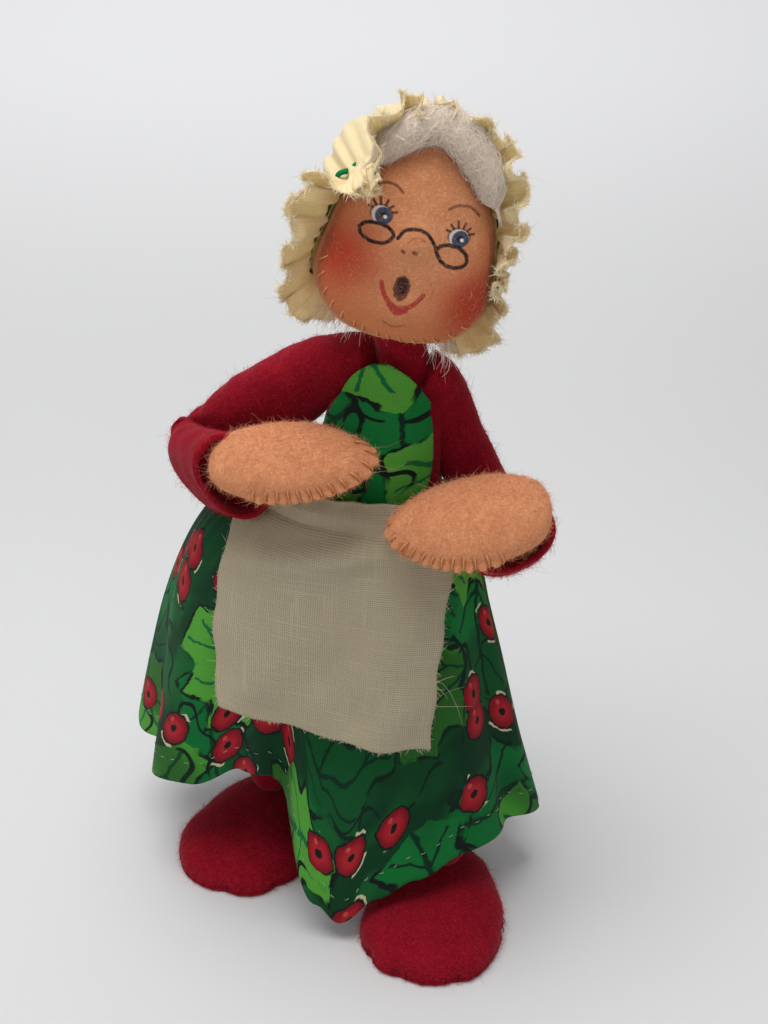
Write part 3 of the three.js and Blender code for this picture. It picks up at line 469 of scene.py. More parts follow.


# Plain weave on the cloth's own flat millimetres, with uneven threads; its Shade is painted shade, darker in the
# gaps between the threads.
def makeWeaveGroup():
    net, start, end = newGroup("plainWeave", ("Shade", "Height"), Pitch=0.38)
    spot = start.outputs["Spot"]
    moved = net.vector("ADD", spot, net.vector("MULTIPLY", net.drift(spot, 0.35), (0.5, 0.5, 0.0)))
    parts = net.add("ShaderNodeSeparateXYZ", None, Vector=moved)
    rate = net.math("DIVIDE", math.pi, start.outputs["Pitch"])
    u = net.times(parts.outputs[0], rate)
    v = net.times(parts.outputs[1], rate)
    warpUp = net.absolute(net.math("SINE", u))
    weftUp = net.absolute(net.math("SINE", v))
    over = net.times(net.math("COSINE", u), net.math("COSINE", v))
    weave = net.plus(net.times(over, 0.5), 0.5)
    thread = net.plus(net.times(warpUp, weave), net.times(weftUp, net.minus(1.0, weave)))
    alongWarp = net.noise(net.vector("MULTIPLY", moved, (2.6, 0.16, 1)), 1.0, 2.0)
    alongWeft = net.noise(net.vector("MULTIPLY", moved, (0.16, 2.6, 1)), 1.0, 2.0)
    slub = net.times(net.plus(alongWarp, alongWeft), 0.5)
    net.send(end, Height=thread, Shade=net.times(thread, net.plus(slub, 0.5)))
    return net.tree


# One leaf in each square of a grid, turned and moved by chance, with spiked edges and veins.
def makeLeafGroup():
    net, start, end = newGroup(
        "leafScatter", ("Fill", "Edge", "Vein", "Chance"), Cell=20.0, Turn=0.0, Seed=0.0, Width=0.3)
    turned = net.turned(start.outputs["Spot"], start.outputs["Turn"])
    scaled = net.vector("SCALE", turned, scale=net.math("DIVIDE", 1.0, start.outputs["Cell"]))
    offset = net.add("ShaderNodeCombineXYZ", None, X=start.outputs["Seed"], Y=start.outputs["Seed"])
    moved = net.vector("ADD", scaled, offset.outputs[0])
    flat = net.vector("MULTIPLY", moved, (1, 1, 0))
    cell = net.vector("FLOOR", flat)
    chance = net.add("ShaderNodeTexWhiteNoise", {"noise_dimensions": "3D"}, Vector=cell)
    jitter = net.vector("MULTIPLY", net.vector("SUBTRACT", chance.outputs[1], (0.5, 0.5, 0.5)), (0.3, 0.3, 0))
    centred = net.vector("SUBTRACT", net.vector("SUBTRACT", flat, cell), (0.5, 0.5, 0))
    local = net.vector("SUBTRACT", centred, jitter)
    spin = net.add("ShaderNodeSeparateColor", None, Color=chance.outputs[1])
    turned = net.turned(local, net.times(spin.outputs[2], 6.283))
    parts = net.add("ShaderNodeSeparateXYZ", None, Vector=turned)
    u = net.math("DIVIDE", parts.outputs[0], 0.47)
    bend = net.times(net.times(u, u), 0.09)
    v = net.absolute(net.plus(parts.outputs[1], bend))
    body = net.math("POWER", net.math("MAXIMUM", net.minus(1.0, net.times(u, u)), 0.0), 0.55)
    scallop = net.absolute(net.math("SINE", net.times(u, 5.2)))
    width = net.times(net.times(body, start.outputs["Width"]), net.minus(1.0, net.times(scallop, 0.42)))
    away = net.minus(v, width)
    insideEnds = net.math("LESS_THAN", net.absolute(u), 1.0)
    fill = net.times(net.ramp(away, 0.006, -0.006), insideEnds)
    edge = net.times(net.ramp(net.absolute(away), 0.022, 0.012),
                     net.math("LESS_THAN", net.absolute(u), 1.03))
    middleVein = net.times(net.ramp(v, 0.018, 0.008), net.math("LESS_THAN", net.absolute(u), 0.8))
    slant = net.math("FRACT", net.plus(net.times(u, 1.5), net.times(v, 3.0)))
    sideVein = net.times(net.ramp(net.absolute(net.minus(slant, 0.5)), 0.05, 0.025),
                         net.ramp(away, -0.05, -0.07))
    vein = net.times(net.math("MAXIMUM", middleVein, sideVein), fill)
    net.send(end, Fill=fill, Edge=edge, Vein=vein, Chance=spin.outputs[0])
    return net.tree


feltGroup = makeFeltGroup()
weaveGroup = makeWeaveGroup()
leafGroup = makeLeafGroup()


def objectSpot(net):
    return net.add("ShaderNodeTexCoord").outputs["Object"]


def clothSpot(net):
    return net.add("ShaderNodeAttribute", {"attribute_name": "cloth"}).outputs["Vector"]


# colour is the felt's own; deep is painted shade between its fibres, and the darker side of its uneven tone.
def makeFelt(name, colour, deep, painted=False, sheen=0.25):
    tint = tuple(min(1.0, 0.35 + 0.75 * c) for c in colour[:3]) + (1,)
    material, net, shader = newMaterial(name, 0.95, sheen, tint, 0.12)
    felt = useGroup(net, feltGroup, Spot=objectSpot(net))
    shade = net.ramp(felt.outputs["Shade"], 0.15, 0.95)
    base = net.mix(shade, deep, colour)
    if painted:
        paint = net.add("ShaderNodeAttribute", {"attribute_name": "paint"})
        soaked = net.ramp(felt.outputs["Shade"], 0.05, 0.75, 0.86, 1.0)
        cover = net.times(paint.outputs["Alpha"], soaked)
        base = net.mix(cover, base, paint.outputs["Color"])
    net.feed(shader, "Base Color", base)
    bumped(net, shader, felt.outputs["Height"], 0.1, 0.8)
    return material


def makeFibre(name, colour, roughness=0.8, shade=0.72):
    material, net, shader = newMaterial(name, roughness, specular=0.1)
    tone = net.noise(objectSpot(net), 900.0, 1.0)
    darker = tuple(c * shade for c in colour[:3]) + (1,)
    net.feed(shader, "Base Color", net.mix(tone, darker, colour))
    return material


# Printed cotton: overlapping spiked leaves, berry clusters and stems on a dark ground.
def makePrint(name):
    material, net, shader = newMaterial(name, 0.85, 0.05, (0.8, 1, 0.8, 1), 0.15)
    cloth = clothSpot(net)
    inked = net.vector("ADD", cloth, net.vector("MULTIPLY", net.drift(cloth, 0.55), (1.3, 1.3, 0)))
    hand = net.vector("ADD", inked, net.vector("MULTIPLY", net.drift(cloth, 0.11), (3.2, 3.2, 0)))
    black = (0.006, 0.012, 0.01, 1)
    patches = net.ramp(net.noise(cloth, 0.06, 2.0), 0.42, 0.58)
    colour = net.mix(patches, (0.004, 0.045, 0.014, 1), (0.007, 0.11, 0.026, 1))
    layers = (
        (dict(Cell=44.0, Turn=0.5, Seed=3.3, Width=0.33), (0.004, 0.15, 0.032, 1), (0.006, 0.04, 0.016, 1)),
        (dict(Cell=38.0, Turn=1.9, Seed=11.7, Width=0.33), (0.06, 0.29, 0.03, 1), (0.004, 0.08, 0.024, 1)),
        (dict(Cell=47.0, Turn=2.7, Seed=27.1, Width=0.3), (0.006, 0.17, 0.034, 1), (0.004, 0.03, 0.015, 1)),
        (dict(Cell=42.0, Turn=3.9, Seed=41.9, Width=0.33), (0.085, 0.34, 0.04, 1), (0.008, 0.14, 0.04, 1)),
    )
    # outlines come and go like brush strokes
    brushed = net.ramp(net.noise(cloth, 0.14, 2.0), 0.4, 0.5)
    for settings, fillColour, veinColour in layers:
        leaf = useGroup(net, leafGroup, Spot=hand, **settings)
        shown = net.math("GREATER_THAN", leaf.outputs["Chance"], 0.22)
        fill = net.times(leaf.outputs["Fill"], shown)
        colour = net.mix(fill, colour, fillColour)
        colour = net.mix(net.times(leaf.outputs["Vein"], shown), colour, veinColour)
        edge = net.times(leaf.outputs["Edge"], net.times(shown, brushed))
        colour = net.mix(edge, colour, black)
    stems = net.absolute(net.minus(net.noise(cloth, 0.045, 1.0), 0.52))
    colour = net.mix(net.times(brushed, net.ramp(stems, 0.009, 0.006)), colour, black)
    # broad patches made much darker: painted shade for the shadow in the cloth's folds, and also darker inked
    # parts of the print
    deep = net.ramp(net.noise(net.vector("ADD", cloth, (53.0, 9.0, 0.0)), 0.035, 1.0), 0.44, 0.56)
    colour = net.mix(net.times(deep, 0.62), colour, (0.004, 0.03, 0.014, 1))
    berries = net.add("ShaderNodeTexVoronoi", {"voronoi_dimensions": "2D"}, Vector=inked, Scale=0.092,
                      Randomness=0.74)
    away = berries.outputs["Distance"]
    # a berry shows whole or not at all, so the clusters are read at its middle
    middle = berries.outputs["Position"]
    crowd = net.noise(net.vector("ADD", middle, (31.0, 17.0, 0.0)), 0.05, 0.5)
    inCluster = net.math("GREATER_THAN", crowd, 0.6)
    ring = net.times(net.ramp(away, 0.42, 0.39), inCluster)
    red = net.times(net.ramp(away, 0.37, 0.35), inCluster)
    flesh = net.mix(net.ramp(away, 0.1, 0.38), (0.42, 0.018, 0.026, 1), (0.2, 0.006, 0.014, 1))
    cream = net.times(net.ramp(net.absolute(net.minus(away, 0.445)), 0.035, 0.02),
                      net.times(inCluster, net.ramp(net.noise(cloth, 0.16, 1.0), 0.58, 0.6)))
    colour = net.mix(cream, colour, (0.6, 0.52, 0.34, 1))
    colour = net.mix(ring, colour, black)
    colour = net.mix(red, colour, flesh)
    colour = net.mix(net.times(net.ramp(away, 0.1, 0.075), inCluster), colour, black)
    shine = net.vector("SUBTRACT", net.vector("SUBTRACT", cloth, middle), (-1.6, 1.7, 0))
    glint = net.ramp(net.vector("LENGTH", net.vector("MULTIPLY", shine, (1, 1, 0))), 0.8, 0.4)
    colour = net.mix(net.times(glint, inCluster), colour, (0.5, 0.07, 0.06, 1))
    weave = useGroup(net, weaveGroup, Spot=cloth, Pitch=0.38)
    # painted shade in the weave's gaps and painted light on its raised threads, with the threads' uneven tone
    weaveShade = net.ramp(weave.outputs["Shade"], 0.1, 0.9, 0.66, 1.2)
    net.feed(shader, "Base Color", net.vector("SCALE", colour, scale=weaveShade))
    bumped(net, shader, weave.outputs["Height"], 0.05, 0.7)
    return material


# Unbleached muslin: open weave, uneven threads, with painted shade a little darker in its gaps.
def makeMuslin(name, light, dark, pitch=0.4, soaked=0.0):
    material, net, shader = newMaterial(name, 0.9, 0.2, (1, 0.97, 0.9, 1), 0.2, soaked)
    cloth = clothSpot(net)
    weave = useGroup(net, weaveGroup, Spot=cloth, Pitch=pitch)
    # painted shade: the dark colour lies in the weave's gaps
    share = net.ramp(weave.outputs["Shade"], 0.12, 0.72)
    colour = net.mix(share, dark, light)
    # thicker threads run through the cloth both ways
    ways = [net.vector("MULTIPLY", cloth, squash) for squash in ((2.6, 0.07, 0), (0.07, 2.6, 0))]
    slubs = net.math("MAXIMUM", *(net.ramp(net.noise(way, 1.0, 1.0), 0.56, 0.74) for way in ways))
    colour = net.mix(net.times(slubs, 0.36), colour, tuple(min(1, 1.2 * c) for c in light))
    stain = net.ramp(net.noise(cloth, 0.09, 3.0), 0.35, 0.7)
    toned = tuple(a * b for a, b in zip(light, (0.9, 0.84, 0.72, 1)))
    colour = net.mix(net.times(stain, 0.3), colour, toned)
    net.feed(shader, "Base Color", colour)
    bumped(net, shader, weave.outputs["Height"], 0.09, 0.8)
    return material


def makePlain(name, light, dark, scale, roughness=0.9, metallic=0.0, bump=0.05):
    material, net, shader = newMaterial(name, roughness)
    shader.inputs["Metallic"].default_value = metallic
    grain = net.noise(objectSpot(net), scale, 4.0, 0.6)
    net.feed(shader, "Base Color", net.mix(grain, dark, light))
    bumped(net, shader, grain, bump, 0.6)
    return material


crimson = (0.37, 0.007, 0.021, 1)
peach, peachDeep = (0.8, 0.36, 0.18, 1), (0.62, 0.245, 0.11, 1)
white = (0.98, 0.88, 0.77, 1)
redFelt = makeFelt("crimsonFelt", crimson, (0.2, 0.002, 0.01, 1))
peachFelt = makeFelt("peachFelt", peach, peachDeep)
faceFelt = makeFelt("paintedPeachFelt", peach, peachDeep, painted=True)
redFibre = makeFibre("crimsonFibre", (0.56, 0.02, 0.045, 1), 0.8, 0.85)
peachFibre = makeFibre("peachFibre", (0.84, 0.42, 0.23, 1), 0.8, 0.8)
thread = makeFibre("orangeThread", (0.82, 0.36, 0.13, 1), 0.6)
paleThread = makeFibre("paleThread", (0.4, 0.46, 0.34, 1), 0.6)
darkThread = makeFibre("darkThread", (0.09, 0.004, 0.008, 1), 0.6)
greenThread = makeFibre("greenCord", (0.0, 0.2, 0.06, 1), 0.6)
printed = makePrint("leafPrint")
muslin = makeMuslin("muslin", (0.46, 0.4, 0.28, 1), (0.2, 0.17, 0.11, 1))
capMuslin = makeMuslin("capMuslin", (0.93, 0.72, 0.42, 1), (0.74, 0.54, 0.27, 1), 0.3, 0.5)
muslinFibre = makeFibre("muslinFibre", (0.95, 0.84, 0.6, 1), 0.8, 0.85)
apronFibre = makeFibre("apronFibre", (0.66, 0.58, 0.42, 1))
roving = makeFibre("whiteRoving", white, 0.9, 0.94)
wool = makeFelt("whiteWool", white, (0.86, 0.74, 0.62, 1), sheen=0.6)
inner = {
    "stuffing": makePlain("fibreFilling", (0.86, 0.86, 0.85, 1), (0.7, 0.7, 0.69, 1), 900.0),
    "card": makePlain("brownCard", (0.5, 0.36, 0.22, 1), (0.36, 0.24, 0.13, 1), 1500.0),
    "steel_wire": makePlain("softWire", (0.6, 0.61, 0.62, 1), (0.4, 0.41, 0.42, 1), 600.0, 0.4, 1.0, 0.02),
}
slotMaterials = {
    "red_felt": redFelt, "peach_felt": peachFelt, "green_print": printed, "muslin": muslin,
    "white_roving": roving, "green_cord": greenThread, **inner,
}
for entry in frame["record"]["subparts"]:
    node = frame["nodes"][entry["node"]]
    node.data.materials.clear()
    node.data.materials.append(slotMaterials[entry["material_slot"]])
say("materials")

# The photograph's viewpoint: above the chest, a little to the doll's left.
cameraSettings = dict(azimuth=15, elevation=27, distance=320, lens=54, target=(-1.3, 0.3, 88))


def makeCamera(settings):
    data = bpy.data.cameras.new("camera")
    data.lens = settings["lens"]
    data.clip_start = 0.01
    obj = linked("camera", data)
    turn, lift = math.radians(settings["azimuth"]), math.radians(settings["elevation"])
    away = Vector((math.sin(turn) * math.cos(lift), -math.cos(turn) * math.cos(lift), math.sin(lift)))
    target = Vector(place(settings["target"]))
    obj.location = target + away * settings["distance"] * millimetre
    obj.rotation_euler = away.to_track_quat("Z", "Y").to_euler()
    bpy.context.scene.camera = obj


# A pale sweep: flat under the doll, then a slow curve up behind it, square to the camera.
stageSettings = dict(front=-900, bend=170, radius=260, height=900, halfWidth=1400)


def makeStage(settings):
    turn = np.linspace(0, np.pi / 2, 24)
    bendY = settings["bend"] + settings["radius"] * np.sin(turn)
    bendZ = settings["radius"] * (1 - np.cos(turn))
    y = np.concatenate([[settings["front"], -300, 0], bendY, [bendY[-1]]])
    z = np.concatenate([[0, 0, 0], bendZ, [settings["height"]]])
    x = np.linspace(-settings["halfWidth"], settings["halfWidth"], 5)
    grid = stacked(x, y[:, None], z[:, None])
    turn = math.radians(cameraSettings["azimuth"])
    grid = grid @ [[math.cos(turn), math.sin(turn), 0], [-math.sin(turn), math.cos(turn), 0], [0, 0, 1]]
    grid[..., :2] -= shift[:2] / millimetre
    material, net, shader = newMaterial("paleSweep", 0.7, specular=0.25)
    # painted light and shade: darker grey on the floor, paler from a little above it up the curve and wall
    height = net.add("ShaderNodeSeparateXYZ", None, Vector=objectSpot(net)).outputs[2]
    paintedWallLight = net.ramp(height, 0.005, 0.12)
    net.feed(shader, "Base Color", net.mix(paintedWallLight, (0.78, 0.78, 0.78, 1), (0.96, 0.96, 0.97, 1)))
    sweep = gridObject("sweep", grid, material, inside=(0, 0, -5000))


# The lamps' powers are shares of one brightness, in watts.
brightness = 2.45
lampSettings = (
    dict(name="topLamp", at=(-60, -70, 620), size=440, power=0.98, aim=(0, 0, 60)),
    dict(name="leftLamp", at=(-620, -420, 330), size=420, power=0.2, aim=(0, 0, 90)),
    dict(name="frontLamp", at=(330, -760, 420), size=520, power=0.32, aim=(0, 0, 80)),
)


def makeLamps():
    for settings in lampSettings:
        data = bpy.data.lights.new(settings["name"], "AREA")
        data.shape = "DISK"
        data.size = settings["size"] * millimetre
        data.energy = settings["power"] * brightness
        obj = linked(settings["name"], data)
        obj.location = place(settings["at"])
        aim = obj.location - Vector(place(settings["aim"]))
        obj.rotation_euler = aim.to_track_quat("Z", "Y").to_euler()
    world = bpy.data.worlds.new("room")
    bpy.context.scene.world = world
    world.use_nodes = True
    tree = world.node_tree
    plain = tree.nodes["Background"]
    plain.inputs["Color"].default_value = (0.97, 0.98, 1, 1)
    plain.inputs["Strength"].default_value = 0.3
    bpy.context.scene.view_settings.view_transform = "Standard"


makeCamera(cameraSettings)
makeStage(stageSettings)
makeLamps()
say("camera, sweep and lamps")


def turning(axis, degrees):
    return np.array(Matrix.Rotation(math.radians(degrees), 3, axis))


# The head's own frame: x to its left, y backward, z up, from the middle of the head.
headMiddle = np.array([5.3, -4.0, 149.7])
headAxes = turning("Z", 15) @ turning("X", -5) @ turning("Y", 13)
headSettings = dict(
    outline=[(0, 19.8), (6.5, 16.2), (11.5, 10.5), (14.3, 5), (15.6, 0), (16.6, -6), (16.2, -11),
             (11.5, -15.4), (5, -17.2), (0, -17.5)],
    faceDepth=14.5, backDepth=14.0, seamDepth=7.0, widestDepth=2.0, seamInset=0.93,
    noseHeight=1.6, noseWidth=3.4, faceGrid=236, backRows=24,
)


def fromHead(local):
    return np.asarray(local, float) @ headAxes.T + headMiddle


def headOutlineTable():
    half = np.array(headSettings["outline"], float)
    other = half[-2:0:-1] * [-1, 1]
    curve = curveThrough(np.vstack([half, other]), 1440, closed=True)
    angle = np.arctan2(curve[:, 0], curve[:, 1]) % (2 * np.pi)
    order = np.argsort(angle)
    angle, reach = angle[order], np.linalg.norm(curve, axis=1)[order]
    return np.concatenate([angle - 2 * np.pi, angle, angle + 2 * np.pi]), np.tile(reach, 3)


outlineAngle, outlineReach = headOutlineTable()


# How far the head's outline lies from its middle at an angle from the top towards +x.
def headReach(angle):
    return np.interp(np.asarray(angle) % (2 * np.pi), outlineAngle, outlineReach)


# Share of that outline at a depth: a dome in front, a slight curve at the seam, a dome behind.
def headSize(y):
    s = headSettings
    front = np.clip((-s["seamDepth"] - y) / (s["faceDepth"] - s["seamDepth"]), 0, 1)
    seam = np.clip((-s["widestDepth"] - y) / (s["seamDepth"] - s["widestDepth"]), 0, 1)
    back = np.clip((y + s["widestDepth"]) / (s["backDepth"] + s["widestDepth"]), 0, 1)
    rounded = dome(back, 2.4)
    middle = 1 - (1 - s["seamInset"]) * seam ** 2
    face = s["seamInset"] * dome(front)
    return np.where(y < -s["seamDepth"], face, np.where(y < -s["widestDepth"], middle, rounded))


# Dents of the stuffed felt, along the angle and the depth.
def headLumps(angle, y):
    return 0.28 * ripple(angle * 2, y * 0.25, seed=4, low=0.6, high=2.4)


# The lower face bulges forward and down over the seam.
def jaw(local):
    local = np.array(local, float)
    low = smooth(-5.0, -17.0, local[..., 2]) * smooth(7.0, -6.0, local[..., 1])
    local[..., 2] *= 1 + 0.11 * low
    local[..., 1] -= 2.2 * low
    return local


# Painted features as strokes in the face's own millimetres: path, width, colour, strength.
ink = (0.012, 0.012, 0.016)
brownInk = (0.12, 0.028, 0.03)
lipRed = (0.38, 0.02, 0.026)
facePaint = dict(
    blush=[((-12.2, -4.2), (7.2, 6.6), 0.97), ((13.0, -8.0), (6.4, 6.8), 0.97)],
    # soft orange on the lower cheeks, partly the doll's airbrush round the blush and partly painted shade, and
    # painted shade along the chin
    airbrushAndShade=[((-12.5, -8.5), (7.0, 6.5), 0.3), ((13.5, -9.5), (5.5, 6.0), 0.3),
          ((-0.5, -15.5), (12, 3.2), 0.22)],
    eyes=[dict(middle=(-6.5, 4.3), white=(-6.9, 4.5)), dict(middle=(7.8, 3.2), white=(7.5, 3.5))],
    strokes=[
        # half-moon spectacles and their bridge
        ([(-10.2, 1.4), (-9.4, 2.3), (-7.7, 2.8), (-5.3, 2.6), (-4.0, 1.5), (-5.2, -0.1), (-7.5, -0.5),
          (-9.6, 0.2), (-10.2, 1.4)], 0.66, ink, 1.0),
        ([(4.0, 0.4), (4.4, 1.3), (5.6, 1.8), (7.8, 1.7), (9.6, 0.5), (9.7, -1.1), (7.8, -1.9), (5.5, -1.4),
          (4.0, 0.4)], 0.7, ink, 1.0),
        ([(-3.2, 1.3), (-2.3, 2.8), (-0.4, 3.5), (1.6, 3.2), (3.0, 2.0), (4.0, 0.6)], 0.62, ink, 1.0),
        # brows
        ([(-9.4, 8.6), (-7.8, 9.7), (-5.6, 9.9), (-4.0, 9.0)], 0.46, brownInk, 0.8),
        ([(4.6, 8.0), (6.4, 8.9), (8.6, 8.8), (10.4, 7.6)], 0.46, brownInk, 0.8),
        # nose: an arc for its tip and two small dots
        ([(-1.2, 1.0), (-0.5, 1.9), (0.6, 2.2), (1.6, 1.8)], 0.26, (0.4, 0.06, 0.05), 0.6),
        ([(-1.9, -0.6), (-1.6, -0.8)], 0.62, brownInk, 0.85),
        ([(0.1, -0.4), (0.5, -0.6)], 0.66, brownInk, 0.85),
        # creases beside the mouth
        ([(-5.2, -5.0), (-5.8, -6.4), (-5.5, -8.0)], 0.22, (0.45, 0.1, 0.06), 0.5),
        ([(4.4, -5.4), (5.2, -6.9), (5.0, -8.5)], 0.22, (0.45, 0.1, 0.06), 0.5),
        # lips below and beside the open mouth, and the chin's crease
        ([(-4.2, -7.2), (-3.5, -8.7), (-2.2, -10.1), (-0.4, -10.8), (1.4, -10.4), (2.8, -9.3),
          (3.7, -7.9)], 0.8, lipRed, 0.9),
        ([(-2.0, -10.6), (-0.4, -11.5), (1.4, -10.9)], 0.7, lipRed, 0.85),
        ([(-2.4, -13.2), (-0.3, -13.7), (1.8, -13.1)], 0.24, brownInk, 0.6),
    ],
    mouth=((-0.4, -7.5), (1.5, 2.15)),
)


# Distance from every point to a stroke's path.
def strokeDistance(spots, path, count=60):
    curve = curveThrough(path, count)
    best = np.full(len(spots), 1e9)
    for a, b in zip(curve[:-1], curve[1:]):
        along = b - a
        t = np.clip(((spots - a) @ along) / max(along @ along, 1e-9), 0, 1)
        best = np.minimum(best, np.linalg.norm(spots - a - t[:, None] * along, axis=1))
    return best


# Layers paint over felt colour and returns colour with the paint's cover.
def paintFace(x, z):
    spots = np.stack([x, z], -1)
    near = (np.abs(x) < 21) & (np.abs(z) < 22)
    colour = np.zeros((len(x), 3))
    cover = np.zeros(len(x))
    wander = 0.1 * ripple(x * 2.1, z * 2.3, seed=8, waves=7, low=0.8, high=2.6)
    grain = 0.5 + 0.5 * ripple(x * 3.7, z * 3.1, seed=9, waves=9, low=0.8, high=3)

    def lay(mask, paint, strength):
        nonlocal colour, cover
        share = np.clip(mask * strength, 0, 1) * near
        total = share + cover * (1 - share)
        mixed = np.asarray(paint) * share[:, None] + colour * (cover * (1 - share))[:, None]
        colour = np.where(total[:, None] > 1e-5, mixed / np.maximum(total, 1e-5)[:, None], colour)
        cover = total

    def oval(middle, size):
        return np.hypot((x - middle[0]) / size[0], (z - middle[1]) / size[1])

    # painted shade: the felt is darkened towards the face's rim and over the jaw and lower face
    rim = smooth(0.62, 1.02, oval((0.3, -0.5), (17.8, 18.6))) * smooth(13.0, 2.0, z)
    lay(rim, (0.46, 0.13, 0.045), 0.6)
    lay(smooth(-5.0, -14.0, z), (0.46, 0.15, 0.055), 0.55)
    # orange airbrush round the cheeks, with painted shade on the lower face and chin
    for middle, size, strength in facePaint["airbrushAndShade"]:
        lay(np.exp(-oval(middle, size) ** 2), (0.74, 0.2, 0.07), strength)
    for middle, size, strength in facePaint["blush"]:
        lay(np.exp(-oval(middle, size) ** 2.6) * (0.86 + 0.14 * grain), (0.42, 0.024, 0.013), strength)
    for eye in facePaint["eyes"]:
        mx, mz = eye["middle"]
        wx, wz = eye["white"]
        rim = oval((wx, wz), (1.95, 1.6))
        lay(smooth(1.04, 0.94, rim), (0.72, 0.72, 0.7), 0.9)
        lay(smooth(0.13, 0.06, np.abs(rim - 1.0)) * smooth(wz - 1.4, wz - 0.4, z), brownInk, 0.8)
        iris = oval((mx, mz), (1.5, 1.5))
        lay(smooth(1.06, 0.96, iris), (0.008, 0.02, 0.045), 0.95)
        lay(smooth(0.88, 0.78, iris), (0.01, 0.08, 0.16), 1.0)
        lay(smooth(0.5, 0.42, iris), (0.008, 0.01, 0.014), 1.0)
        lay(smooth(1.1, 0.8, oval((mx + 0.35, mz - 0.1), (0.36, 0.36))), (0.85, 0.87, 0.88), 1.0)
        for k, turn in enumerate(np.linspace(-64, 64, 6)):
            root = math.radians(turn)
            size = 0.75 + 0.4 * math.sin(k * 2.4) ** 2
            start = (wx + 1.95 * math.sin(root), wz + 1.65 * math.cos(root))
            end = (start[0] + size * math.sin(root * 1.15), start[1] + size * math.cos(root * 1.15))
            lay(smooth(0.3, 0.16, strokeDistance(spots, [start, end], 3)), ink, 0.9)
    for path, width, paint, strength in facePaint["strokes"]:
        away = strokeDistance(spots, path) + wander
        lay(smooth(width / 2 + 0.1, width / 2 - 0.08, away), paint, strength)
    middle, size = facePaint["mouth"]
    hole = oval(middle, size) + wander * 1.4
    lay(smooth(1.1, 0.92, hole), (0.09, 0.02, 0.02), 0.9)
    lay(smooth(0.85, 0.6, oval((middle[0], middle[1] + 0.3), size) + wander), ink, 1.0)
    return np.column_stack([colour, cover])


# The face is a square grid bent onto a disc and raised to the CAD's profile; rings close the back.
def makeHead():
    s = headSettings
    n = s["faceGrid"]
    a, b = np.meshgrid(np.linspace(-1, 1, n), np.linspace(-1, 1, n), indexing="ij")
    q = np.maximum(np.abs(a), np.abs(b))
    flatWay = np.abs(a) >= np.abs(b)
    byColumn = np.pi / 4 * b / np.where(a == 0, 1, a)
    byRow = np.pi / 2 - np.pi / 4 * a / np.where(b == 0, 1, b)
    phi = np.where(flatWay, byColumn, byRow)
    sign = np.where(flatWay, np.sign(a), np.sign(b))
    angle = np.arctan2(np.cos(phi) * sign, np.sin(phi) * sign)

    share = np.sin(np.linspace(0, np.pi / 2, 400))
    depth = dome(share) * (s["faceDepth"] - s["seamDepth"])
    step = np.hypot(np.diff(share * 16), np.diff(depth))
    table = np.concatenate([[0], np.cumsum(step)])
    rho = np.interp(q, table / table[-1], share)

    reach = headReach(angle) * s["seamInset"] * rho
    x, z = reach * np.sin(angle), reach * np.cos(angle)
    out = dome(rho)
    y = -s["seamDepth"] - (s["faceDepth"] - s["seamDepth"]) * out
    y = y - s["noseHeight"] * hump(np.hypot(x + 0.6, z - 0.4) / s["noseWidth"])
    # cheeks and chin: height, place sideways and up, width and height
    for rise, atX, atZ, wide, tall in ((0.8, -10, -5, 5, 5), (0.8, 10.5, -5.5, 5, 5),
                                       (0.7, 0.8, -13, 5, 3.2)):
        y = y - rise * np.exp(-(((x - atX) / wide) ** 2 + ((z - atZ) / tall) ** 2)) * out
    # a dent for the mouth
    y = y + 0.5 * np.exp(-(((x + 0.4) / 2.2) ** 2 + ((z + 7.8) / 2.6) ** 2))
    y = y + 0.25 * ripple(x * 0.4, z * 0.4, seed=5, low=0.6, high=2.2) * out
    front = stacked(x, y, z).reshape(-1, 3)
    paint = paintFace(x.ravel(), z.ravel())

    index = np.arange(n * n).reshape(n, n)
    edge = np.concatenate([index[0, :-1], index[:-1, -1], index[-1, :0:-1], index[:0:-1, 0]])
    edgeAngle = angle.reshape(-1)[edge]
    turn = np.linspace(0, 1, s["backRows"] + 1)[1:-1]
    yRows = lerp(-s["seamDepth"], s["backDepth"], np.sin(turn * np.pi / 2))
    rows = []
    for yRow in yRows:
        ridge = 0.5 * math.exp(-((yRow + s["seamDepth"] - 0.7) / 0.9) ** 2)
        size = headReach(edgeAngle) * headSize(np.full(len(edge), yRow)) + ridge + headLumps(edgeAngle, yRow)
        rows.append(polar(size, yRow, edgeAngle))
    back = np.concatenate(rows)
    pole = np.array([[0, s["backDepth"], 0]])
    points = np.vstack([front, back, pole])
    count = len(edge)
    rings = np.vstack([edge, n * n + np.arange(len(yRows) * count).reshape(len(yRows), count)])
    nextRing = np.roll(rings, -1, axis=1)
    quads = np.stack([rings[:-1], nextRing[:-1], nextRing[1:], rings[1:]], -1).reshape(-1, 4)
    tip = np.stack([rings[-1], nextRing[-1], np.full(count, len(points) - 1)], -1)
    faceLists = [turnedOut(points, faces, np.zeros(3)) for faces in (gridFaces(n, n), quads, tip)]
    colours = np.vstack([paint, np.zeros((len(points) - len(paint), 4))])
    head = meshObject("headFelt", fromHead(jaw(points)), faceLists, faceFelt, colours=colours)
    finishPiece(head, "head", "peach_felt", ["face_felt", "head_back_felt"])
    return head


